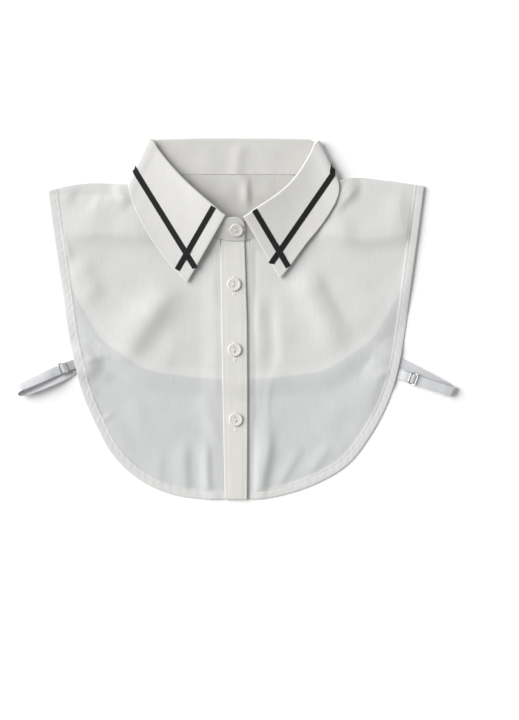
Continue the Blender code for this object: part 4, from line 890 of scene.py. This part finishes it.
def find_under(grid, xy, first, last):
    """Row and column of the grid under each point in plan, by Newton's steps on the surface."""
    first_row = len(roll_angles)
    part = grid[first_row:, first:last, :2]
    near = np.linalg.norm(part[None] - xy[:, None, None], axis=-1).reshape(len(xy), -1)
    i, j = np.unravel_index(near.argmin(axis=1), part.shape[:2])
    row, column = i + float(first_row), j + float(first)
    for _ in range(25):
        here = surface_at(grid, row, column)[:, :2]
        by_row = surface_at(grid, row + 0.5, column) - surface_at(grid, row - 0.5, column)
        by_column = surface_at(grid, row, column + 0.5) - surface_at(grid, row, column - 0.5)
        cross = by_row[:, 0] * by_column[:, 1] - by_row[:, 1] * by_column[:, 0]
        miss = xy - here
        row = row + np.clip((miss[:, 0] * by_column[:, 1] - miss[:, 1] * by_column[:, 0]) / cross,
                            -1, 1)
        column = column + np.clip((by_row[:, 0] * miss[:, 1] - by_row[:, 1] * miss[:, 0]) / cross,
                                  -1, 1)
        row = np.clip(row, first_row - 4.0, grid.shape[0] - 1.0)
        column = np.clip(column, first, last - 1.0)
    return row, column


def tape(name):
    """A tape on the leaf: a strip along a path on its surface, lifted at the crossing.

    A point is the path, plus its side direction times the place across, plus the normal times
    the height. The path of an edge tape goes on round the side turn to the middle of the back.
    """
    start, end, cross = TAPES[name]
    fractions = np.linspace(0.0, 1.0, 90)[:, None]
    xy = np.array(start) + (np.array(end) - np.array(start)) * fractions
    columns = leaf_mid.shape[1]
    front_count = sum(RUN_STEPS) + 5
    first, last = (0, front_count) if name.endswith("left") else (columns - front_count, columns)
    row, column = find_under(leaf_mid, xy, first, last)
    if cross is None:
        middle = (columns - 1) / 2
        back_row = len(roll_angles) + 43 * (1.0 - 12.5 / 42.0)
        s = np.linspace(0.0, 0.994, 160)[1:]
        turn_end = abs(column[-1] - middle) * 0.72
        on = column[-1] + (middle - column[-1]) * s
        settled = ease((abs(on - column[-1])) / (abs(column[-1] - middle) - turn_end))
        row = np.concatenate([row, row[-1] + (back_row - row[-1]) * settled])
        column = np.concatenate([column, on])
    path, up = surface_at(leaf_mid, row, column), surface_at(leaf_up, row, column)
    run = np.concatenate([[0.0], np.cumsum(np.linalg.norm(np.diff(path, axis=0), axis=1))])
    even = np.linspace(0.0, run[-1], int(run[-1] / 1.1))
    path = np.stack([np.interp(even, run, path[:, k]) for k in range(3)], axis=-1)
    up = np.stack([np.interp(even, run, up[:, k]) for k in range(3)], axis=-1)
    up /= np.linalg.norm(up, axis=1, keepdims=True)
    ahead = np.gradient(path, axis=0)
    side = np.cross(up, ahead)
    side /= np.linalg.norm(side, axis=1, keepdims=True)
    v = TAPE_WIDTH * np.linspace(-0.5, 0.5, 9)
    lift = np.full((9, len(path)), LEAF_WALL / 2 + TAPE_WALL / 2 + 0.04)
    mid = path[None] + side[None] * v[:, None, None]
    if cross is not None:
        near = np.linalg.norm(mid[..., :2] - np.array(cross), axis=-1)
        lift += TAPE_CROSS_LIFT * (1.0 - ease((near - 6.2) / 3.5))
    mid = mid + up[None] * lift[..., None]
    cut = np.dstack([np.repeat(even[None], 9, 0), np.repeat(v[:, None], len(even), 1)])
    crown = TAPE_WALL / 2 * (1.0 - 0.35 * (abs(v) / v.max())[:, None] ** 3)
    obj, top, normals = cloth_piece(f"{name}_tape", mid, crown, crown, cut, tape_rib,
                                    normals=np.repeat(up[None], 9, 0))
    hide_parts("tape_" + name)
    sewn = stitches(f"{name}_tape_stitches", [(top[1], up), (top[-2], up)], black_thread,
                    pitch=2.6, length=1.8, radius=0.16)
    return [obj, sewn]


tape_pieces = sum((tape(name) for name in TAPES), [])

# Buttons
# Four turned resin shirt buttons, 12.4 mm, with a raised rim, a dished middle and two holes. Each
# is sewn on with white thread, above a buttonhole worked in satin stitch.
BUTTON_RADIUS = 6.2
HOLE_OFFSET = 1.9
HOLE_RADIUS = 0.78
BUTTON_PLACES = [(0.1, 80.3), (-2.1, 31.6), (-1.5, -27.2), (-0.6, -90.0)]
BUTTON_TURNS = (4.0, -12.0, 6.0, 15.0)
# Half the section of the button: radius and height, from the middle of the top round to the back
BUTTON_PROFILE = [(0.0, 1.2), (2.6, 1.2), (3.4, 1.22), (4.0, 1.27), (4.4, 1.36), (4.75, 1.43),
                  (5.15, 1.45), (5.6, 1.4), (5.95, 1.24), (6.15, 1.02), (6.2, 0.82), (6.05, 0.52),
                  (5.6, 0.32), (4.8, 0.2), (3.0, 0.12), (0.0, 0.1)]

resin = bpy.data.materials.new("turned_resin")
resin.use_nodes = True
tree = resin.node_tree
shader = tree.nodes["Principled BSDF"]
# Cast polyester resin, turned and tumbled: a soft gloss under faint clouds.
place = add_node(tree, "ShaderNodeTexCoord", {}, {}).outputs["Object"]
clouds = add_node(tree, "ShaderNodeTexNoise", {}, {"Vector": place, "Scale": 320.0, "Detail": 3.0,
                                                   "Distortion": 1.2})
tone = add_node(tree, "ShaderNodeMix", {"data_type": "RGBA"},
                {0: clouds.outputs[0], 6: linear("#D2D0CA"), 7: linear("#DDDBD6")})
fine = add_node(tree, "ShaderNodeTexNoise", {}, {"Vector": place, "Scale": 2500.0})
bump = add_node(tree, "ShaderNodeBump", {}, {"Strength": 0.12, "Distance": 0.00003,
                                             "Height": fine.outputs[0]})
rough = add_node(tree, "ShaderNodeMapRange", {}, {0: clouds.outputs[0], 3: 0.24, 4: 0.38})
tree.links.new(tone.outputs[2], shader.inputs["Base Color"])
tree.links.new(rough.outputs[0], shader.inputs["Roughness"])
tree.links.new(bump.outputs[0], shader.inputs["Normal"])
shader.inputs["IOR"].default_value = 1.54


def axes_at(normal, turn):
    """Right and forward directions of a piece that faces along the normal, turned in degrees."""
    forward = np.array([0.0, 1.0, 0.0]) - normal * normal[1]
    forward /= np.linalg.norm(forward)
    right = np.cross(forward, normal)
    a = math.radians(turn)
    return (right * math.cos(a) + forward * math.sin(a),
            forward * math.cos(a) - right * math.sin(a))


def button(name, centre, normal, turn):
    """A turned button: its profile spun about the axis, sunk by a bell at each of two holes.

    The rings lie closest round the holes. A hole's depth falls as exp(-(distance / radius)^6).
    """
    profile = np.array(BUTTON_PROFILE)
    inner = np.linspace(0.0, 3.2, 30)[1:]
    outer = smooth_curve(profile[2:15], 34)
    radii = np.concatenate([inner, outer[:, 0]])
    z = np.concatenate([np.interp(inner, profile[:3, 0], profile[:3, 1]), outer[:, 1]])
    angle = 2 * np.pi * np.arange(96) / 96
    x = radii[:, None] * np.cos(angle)
    y = radii[:, None] * np.sin(angle)
    height = np.repeat(z[:, None], 96, axis=1)
    upper = np.arange(len(radii))[:, None] < len(inner)
    for hole in (-HOLE_OFFSET, HOLE_OFFSET):
        away = np.hypot(x, y - hole) / HOLE_RADIUS
        height -= np.where(upper, 1.0 * np.exp(-away**6) - 0.07 * bump_at((away - 1.35) / 0.35), 0)
    right, forward = axes_at(normal, turn)
    local = np.dstack([x, y, height]).reshape(-1, 3)
    local = np.concatenate([local, [[0.0, 0.0, 1.2], [0.0, 0.0, 0.1]]])
    points = centre + local[:, :1] * right + local[:, 1:2] * forward + local[:, 2:] * normal
    rings = len(radii)
    k = np.arange(96)
    ring = np.arange(rings - 1)[:, None] * 96
    a, b = ring + k, ring + np.roll(k, -1)
    faces = np.stack([a, a + 96, b + 96, b], axis=-1).reshape(-1, 4).tolist()
    faces += [(len(points) - 2, int(c), int(d)) for c, d in zip(k, np.roll(k, -1))]
    low = (rings - 1) * 96
    faces += [(len(points) - 1, int(low + d), int(low + c)) for c, d in zip(k, np.roll(k, -1))]
    obj = new_mesh(name, points, faces, resin)
    return obj, right, forward


def swept_tube(path, up, radius_side, radius_up, sides=8, closed=False):
    """Points and faces of a tube: an ellipse carried along a path, its axes the side and up."""
    ahead = (np.roll(path, -1, 0) - np.roll(path, 1, 0)) if closed else np.gradient(path, axis=0)
    ahead = ahead / np.linalg.norm(ahead, axis=1, keepdims=True)
    side = np.cross(up, ahead)
    side /= np.linalg.norm(side, axis=1, keepdims=True)
    over = np.cross(ahead, side)
    angle = 2 * np.pi * np.arange(sides) / sides
    points = (path[:, None] + side[:, None] * (radius_side * np.cos(angle))[..., None]
              + over[:, None] * (radius_up * np.sin(angle))[..., None])
    count, k = len(path), np.arange(sides)
    rings = np.arange(count if closed else count - 1)[:, None]
    a, b = rings * sides + k, rings * sides + np.roll(k, -1)
    c, d = (rings + 1) % count * sides + np.roll(k, -1), (rings + 1) % count * sides + k
    faces = np.stack([a, b, c, d], axis=-1).reshape(-1, 4)[:, ::-1].tolist()
    if not closed:
        faces += [k.tolist(), ((count - 1) * sides + k)[::-1].tolist()]
    return points.reshape(-1, 3), faces


def joined(parts):
    """One list of points and one of faces, from several, with the later faces' numbers raised."""
    points, faces, start = [], [], 0
    for p, f in parts:
        points.append(p)
        faces += [[v + start for v in face] for face in f]
        start += len(p)
    return np.concatenate(points), faces


def button_thread(name, centre, normal, forward):
    """Two strands between the holes: each is an arch, height times 1 - s^4, s from -1 to 1."""
    s = np.linspace(-1.0, 1.0, 15)
    parts = []
    for offset in (-0.16, 0.16):
        right = np.cross(forward, normal)
        rise = 0.6 + 0.85 * (1.0 - s**4)
        path = (centre + forward * (s * HOLE_OFFSET)[:, None] + right * offset
                + normal * rise[:, None])
        parts.append(swept_tube(path, np.repeat(normal[None], 15, 0), 0.17, 0.17, 7))
    points, faces = joined(parts)
    obj = new_mesh(name, points, faces, white_thread)
    return obj


def buttonhole(name, centre, normal, long_way, length):
    """Satin-stitched hole: a flat ridge along a stadium, its width rippled at the thread pitch.

    The stadium is two straight sides with half circles, and the ripple a sine 0.6 mm long.
    """
    side = np.cross(normal, long_way)
    half, radius = length / 2 - 0.9, 0.75
    straight = np.linspace(-half, half, 50)
    arc = np.linspace(-np.pi / 2, np.pi / 2, 14)[1:-1]
    u = np.concatenate([straight, half + radius * np.cos(arc), straight[::-1],
                        -half - radius * np.cos(arc)])
    v = np.concatenate([np.full(50, -radius), radius * np.sin(arc), np.full(50, radius),
                        -radius * np.sin(arc)])
    path = centre + long_way * u[:, None] + side * v[:, None] + normal * 0.06
    run = np.cumsum(np.linalg.norm(np.gradient(path, axis=0), axis=1))
    ripple = (0.5 + 0.09 * np.sin(2 * np.pi * run / 0.6))[:, None]
    tall = (0.24 + 0.04 * np.sin(2 * np.pi * run / 0.6))[:, None]
    bars = []
    for end in (-1.0, 1.0):
        cross = np.linspace(-1.0, 1.0, 15)[:, None]
        bar = centre + long_way * end * (half + 0.75) + side * cross * 1.25 + normal * 0.1
        thick = 0.42 * np.sqrt(1.02 - cross**2)
        bars.append(swept_tube(bar, np.repeat(normal[None], 15, 0), thick, 0.7 * thick, 8))
    ring = swept_tube(path, np.repeat(normal[None], len(path), 0), ripple, tall, 8, closed=True)
    points, faces = joined([ring] + bars)
    obj = new_mesh(name, points, faces, white_thread)
    return obj


near = np.linalg.norm(stand_mid[:, :lap_count + 30, :2] - BUTTON_PLACES[0], axis=-1)
r, c = np.unravel_index(near.argmin(), near.shape)
up = stand_up[r, c] / np.linalg.norm(stand_up[r, c])
flat = stand_mid[r, c]
x, y = BUTTON_PLACES[0]
z = flat[2] - (up[0] * (x - flat[0]) + up[1] * (y - flat[1])) / up[2]
seats = [(np.array([x, y, z]) + up * STAND_WALL / 2, up)]
for x, y in BUTTON_PLACES[1:]:
    reach = np.array([[[x, y - BUTTON_RADIUS], [x, y], [x, y + BUTTON_RADIUS]]])
    z = front_base(reach).max() + 0.5 + TOP_STRIP_CLIMB + PLACKET_WALL / 2 + 0.08
    seats.append((np.array([x, y, z]), np.array([0.0, 0.0, 1.0])))
button_pieces = []
for k, ((seat, up), turn) in enumerate(zip(seats, BUTTON_TURNS), 1):
    obj, right, forward = button(f"resin_button_{k}", seat + up * 0.08, up, turn)
    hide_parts(f"button_{k}")
    sewn = button_thread(f"button_thread_{k}", seat + up * 0.08, up, forward)
    if k == 1:
        hole = buttonhole("stand_buttonhole", seat - up * 0.02, up, axes_at(up, 0.0)[0], 15.0)
    else:
        below = seat + np.array([-0.2, -1.6, -0.02])
        hole = buttonhole(f"placket_buttonhole_{k}", below, up, np.array([0.0, 1.0, 0.0]), 17.0)
    button_pieces += [obj, sewn, hole]

# Straps
# A loop of 8 mm satin elastic at each side, from the front's hem to the back's, with a small
# metal slider. The ribbon lies where it was dropped, half turned on its edge at the left.
RIBBON_WIDTH = 8.0
RIBBON_WALL = 0.7
# Centre line of each ribbon: x, y, z, and the heading of its width and its lean in degrees
RIBBONS = {
    "right": [
        (124.4, -21.8, 0.5, 46, 0), (135.0, -30.6, 0.5, 52, 0), (147.0, -38.4, 0.5, 58, 0),
        (163.6, -47.7, 0.5, 61, 15), (180.8, -56.6, 0.5, 63, 14), (191.5, -62.2, 0.6, 64, 5),
        (195.2, -64.4, 1.6, 65, 0), (196.3, -65.2, 2.9, 66, 0), (195.0, -65.2, 4.2, 67, 0),
        (190.4, -64.0, 4.8, 68, 0), (180.8, -60.8, 4.4, 69, 0), (171.0, -57.6, 3.8, 70, 0),
        (164.6, -55.4, 3.1, 70, 0), (161.9, -54.4, 3.1, 70, 0), (158.8, -53.3, 4.1, 70, 0),
        (155.7, -52.2, 3.1, 70, 0), (152.4, -51.2, 2.6, 72, 0), (146.0, -49.4, 0.7, 73, 0),
        (139.0, -47.0, 0.5, 72, 0), (131.5, -44.6, 0.5, 72, 0)],
    "left": [
        (-124.0, -22.4, 0.5, 134, 0), (-134.0, -33.0, 0.5, 130, 0),
        (-145.6, -44.6, 0.6, 122, 0), (-157.0, -51.6, 1.9, 119, -20),
        (-171.0, -58.4, 3.2, 115, -40), (-183.0, -63.2, 3.4, 114, -42),
        (-192.6, -65.8, 3.6, 114, -42), (-196.4, -65.4, 4.5, 114, -42),
        (-197.1, -63.8, 5.6, 114, -42), (-195.2, -62.0, 6.2, 114, -42),
        (-189.0, -59.0, 6.2, 114, -36), (-178.0, -54.0, 5.4, 115, -26),
        (-168.0, -49.2, 4.6, 116, -10), (-161.8, -46.5, 4.0, 116, 0),
        (-158.6, -45.1, 4.0, 116, 0), (-155.6, -43.8, 5.0, 116, 0), (-152.6, -42.6, 4.0, 116, 0),
        (-149.4, -41.4, 3.2, 117, 0), (-145.0, -39.8, 1.9, 118, 0), (-138.0, -37.6, 1.85, 118, 0)],
}

satin = bpy.data.materials.new("satin_elastic")
satin.use_nodes = True
tree = satin.node_tree
shader = tree.nodes["Principled BSDF"]
# Knitted nylon elastic with a satin face: ribs run along it 1 mm apart, and it shines softly. Its
# colour follows the height of the ribs and picks: painted shade in their hollows, painted light on
# their tops.
uv = add_node(tree, "ShaderNodeUVMap", {"uv_map": "cut"}, {}).outputs[0]
split = add_node(tree, "ShaderNodeSeparateXYZ", {}, {0: uv})
ribs = add_node(tree, "ShaderNodeMath", {"operation": "MULTIPLY"},
                {0: split.outputs[1], 1: 2 * math.pi / 0.001})
ribs = add_node(tree, "ShaderNodeMath", {"operation": "SINE"}, {0: ribs.outputs[0]})
picks = add_node(tree, "ShaderNodeMath", {"operation": "MULTIPLY"},
                 {0: split.outputs[0], 1: 2 * math.pi / 0.0012})
picks = add_node(tree, "ShaderNodeMath", {"operation": "SINE"}, {0: picks.outputs[0]})
height = add_node(tree, "ShaderNodeMath", {"operation": "MULTIPLY_ADD"},
                  {0: picks.outputs[0], 1: 0.35, 2: ribs.outputs[0]})
bump = add_node(tree, "ShaderNodeBump", {}, {"Strength": 0.35, "Distance": 0.00008,
                                             "Height": height.outputs[0]})
# Painted shade and light: the colour goes darker where the rib height is low and lighter where it
# is high.
tone = add_node(tree, "ShaderNodeMapRange", {}, {0: height.outputs[0], 1: -1.3, 2: 1.3})
tone = add_node(tree, "ShaderNodeMix", {"data_type": "RGBA"},
                {0: tone.outputs[0], 6: linear("#BDBEC1"), 7: linear("#C9CACC")})
tree.links.new(tone.outputs[2], shader.inputs["Base Color"])
tree.links.new(bump.outputs[0], shader.inputs["Normal"])
shader.inputs["Roughness"].default_value = 0.38
shader.inputs["Sheen Weight"].default_value = 0.25


def ribbon(side):
    """A flat ribbon: its width is laid across the centre line by heading and lean.

    The width direction is (cos heading cos lean, sin heading cos lean, sin lean).
    """
    table = np.array(RIBBONS[side], float)
    chord = np.linalg.norm(np.diff(table[:, :3], axis=0), axis=1)
    chord = np.concatenate([[0.0], np.cumsum(chord)]) / chord.sum()
    stops = np.arange(0, 10 * (len(table) - 1) + 1) / 10
    rows = smooth_curve(table, at=np.interp(stops, np.arange(len(table)), chord))
    centre, heading, lean = rows[:, :3], np.radians(rows[:, 3]), np.radians(rows[:, 4])
    lowest = RIBBON_WIDTH / 2 * abs(np.sin(lean)) + RIBBON_WALL / 2
    centre[:, 2] = np.maximum(centre[:, 2], lowest)
    width = np.column_stack([np.cos(heading) * np.cos(lean), np.sin(heading) * np.cos(lean),
                             np.sin(lean)])
    v = RIBBON_WIDTH * np.linspace(-0.5, 0.5, 9)
    mid = centre[None] + width[None] * v[:, None, None]
    run = np.cumsum(np.linalg.norm(np.gradient(centre, axis=0), axis=1))
    cut = np.dstack([np.repeat(run[None], 9, 0), np.repeat(v[:, None], len(run), 1)])
    wall = RIBBON_WALL / 2 * (1.0 - 0.3 * (abs(v) / v.max())[:, None] ** 4)
    obj, _, _ = cloth_piece(f"elastic_{side}", mid, wall, wall, cut, satin)
    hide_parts(f"strap_{side}")
    return obj


for side in RIBBONS:
    ribbon(side)

# Sliders
# Small die-cast rings with a middle bar, bright nickel plated. The ribbon goes over the middle
# bar and under the end bars, so the slider holds the loop at its length and can be pushed along.
SLIDERS = {"right": (158.8, -53.3, 3.6, -20.0), "left": (-155.6, -43.8, 4.5, -156.5)}
SLIDER_LENGTH = 7.4
SLIDER_WIDTH = 10.6
SLIDER_WIRE = 0.45
SLIDER_ARCH = 0.9

nickel = bpy.data.materials.new("nickel_plate")
nickel.use_nodes = True
tree = nickel.node_tree
shader = tree.nodes["Principled BSDF"]
# Bright nickel over zinc, tumbled before plating: mirror-like, with a faint orange peel.
place = add_node(tree, "ShaderNodeTexCoord", {}, {}).outputs["Object"]
peel = add_node(tree, "ShaderNodeTexNoise", {}, {"Vector": place, "Scale": 900.0})
bump = add_node(tree, "ShaderNodeBump", {}, {"Strength": 0.15, "Distance": 0.00005,
                                             "Height": peel.outputs[0]})
rough = add_node(tree, "ShaderNodeMapRange", {}, {0: peel.outputs[0], 3: 0.3, 4: 0.45})
tone = add_node(tree, "ShaderNodeMix", {"data_type": "RGBA"},
                {0: peel.outputs[0], 6: linear("#B9B8B4"), 7: linear("#D2D1CE")})
tree.links.new(tone.outputs[2], shader.inputs["Base Color"])
tree.links.new(rough.outputs[0], shader.inputs["Roughness"])
tree.links.new(bump.outputs[0], shader.inputs["Normal"])
shader.inputs["Metallic"].default_value = 1.0


def slider(side):
    """A rounded ring and a bar, each a tube; the ring's ends arch up and the middle bar down.

    The ring is a superellipse: |u/a|^5 + |v/b|^5 = 1, its height the arch times |u/a|.
    """
    x, y, z, heading = SLIDERS[side]
    a, b = SLIDER_LENGTH / 2 - SLIDER_WIRE, SLIDER_WIDTH / 2 - SLIDER_WIRE
    angle = 2 * np.pi * np.arange(96) / 96
    power = 2.0 / 5.0
    u = a * np.sign(np.cos(angle)) * abs(np.cos(angle)) ** power
    v = b * np.sign(np.sin(angle)) * abs(np.sin(angle)) ** power
    ring = np.column_stack([u, v, SLIDER_ARCH * (2.0 * abs(u / a) - 1.0)])
    across = np.linspace(-b, b, 15)
    bar = np.column_stack([np.zeros(15), across, np.full(15, -SLIDER_ARCH)])
    turn = math.radians(heading)
    frame_of = np.array([[math.cos(turn), math.sin(turn), 0.0],
                         [-math.sin(turn), math.cos(turn), 0.0], [0.0, 0.0, 1.0]])
    up = np.array([[0.0, 0.0, 1.0]])
    parts = [swept_tube(ring @ frame_of + (x, y, z), np.repeat(up, 96, 0), 0.5, 0.42, 10, True),
             swept_tube(bar @ frame_of + (x, y, z), np.repeat(up, 15, 0), 0.5, 0.4, 10)]
    points, faces = joined(parts)
    obj = new_mesh(f"nickel_slider_{side}", points, faces, nickel)
    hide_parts(f"slider_{side}")


for side in SLIDERS:
    slider(side)

# Floor, light and camera
# A plain white sweep, one soft light from the upper left as a large softbox far away would give,
# and an even fill. The camera looks straight down from 2.5 m.
FLOOR_SIZE = 6000.0
floor_paint = bpy.data.materials.new("white_sweep")
floor_paint.use_nodes = True
tree = floor_paint.node_tree
shader = tree.nodes["Principled BSDF"]
shader.inputs["Base Color"].default_value = linear("#FAFAFA")
shader.inputs["Roughness"].default_value = 0.95
shader.inputs["Specular IOR Level"].default_value = 0.0
half = FLOOR_SIZE / 2
mesh = bpy.data.meshes.new("floor")
mesh.from_pydata([(-half * MM, -half * MM, 0), (half * MM, -half * MM, 0),
                  (half * MM, half * MM, 0), (-half * MM, half * MM, 0)], [], [(0, 1, 2, 3)])
mesh.materials.append(floor_paint)
floor = bpy.data.objects.new("floor", mesh)
bpy.context.collection.objects.link(floor)

sun = bpy.data.lights.new("softbox", "SUN")
sun.energy = 4.3
sun.angle = math.radians(50.0)
lamp = bpy.data.objects.new("softbox", sun)
light_way = Vector((0.79, -0.30, -0.53))
lamp.rotation_euler = light_way.to_track_quat("-Z", "Y").to_euler()
bpy.context.collection.objects.link(lamp)
world = bpy.data.worlds.new("fill")
world.use_nodes = True
world.node_tree.nodes["Background"].inputs["Color"].default_value = (1.0, 1.0, 1.0, 1.0)
world.node_tree.nodes["Background"].inputs["Strength"].default_value = 0.37
bpy.context.scene.world = world

camera = bpy.data.cameras.new("camera")
camera.sensor_fit = "VERTICAL"
camera.sensor_height = 36.0
camera.lens = 36.0 * 2.5 / 0.648
camera.dof.use_dof = False
view = bpy.data.objects.new("camera", camera)
view.location = (0.0207, -0.03645, 2.5)
bpy.context.collection.objects.link(view)
bpy.context.scene.camera = view
bpy.context.scene.view_settings.view_transform = "Standard"
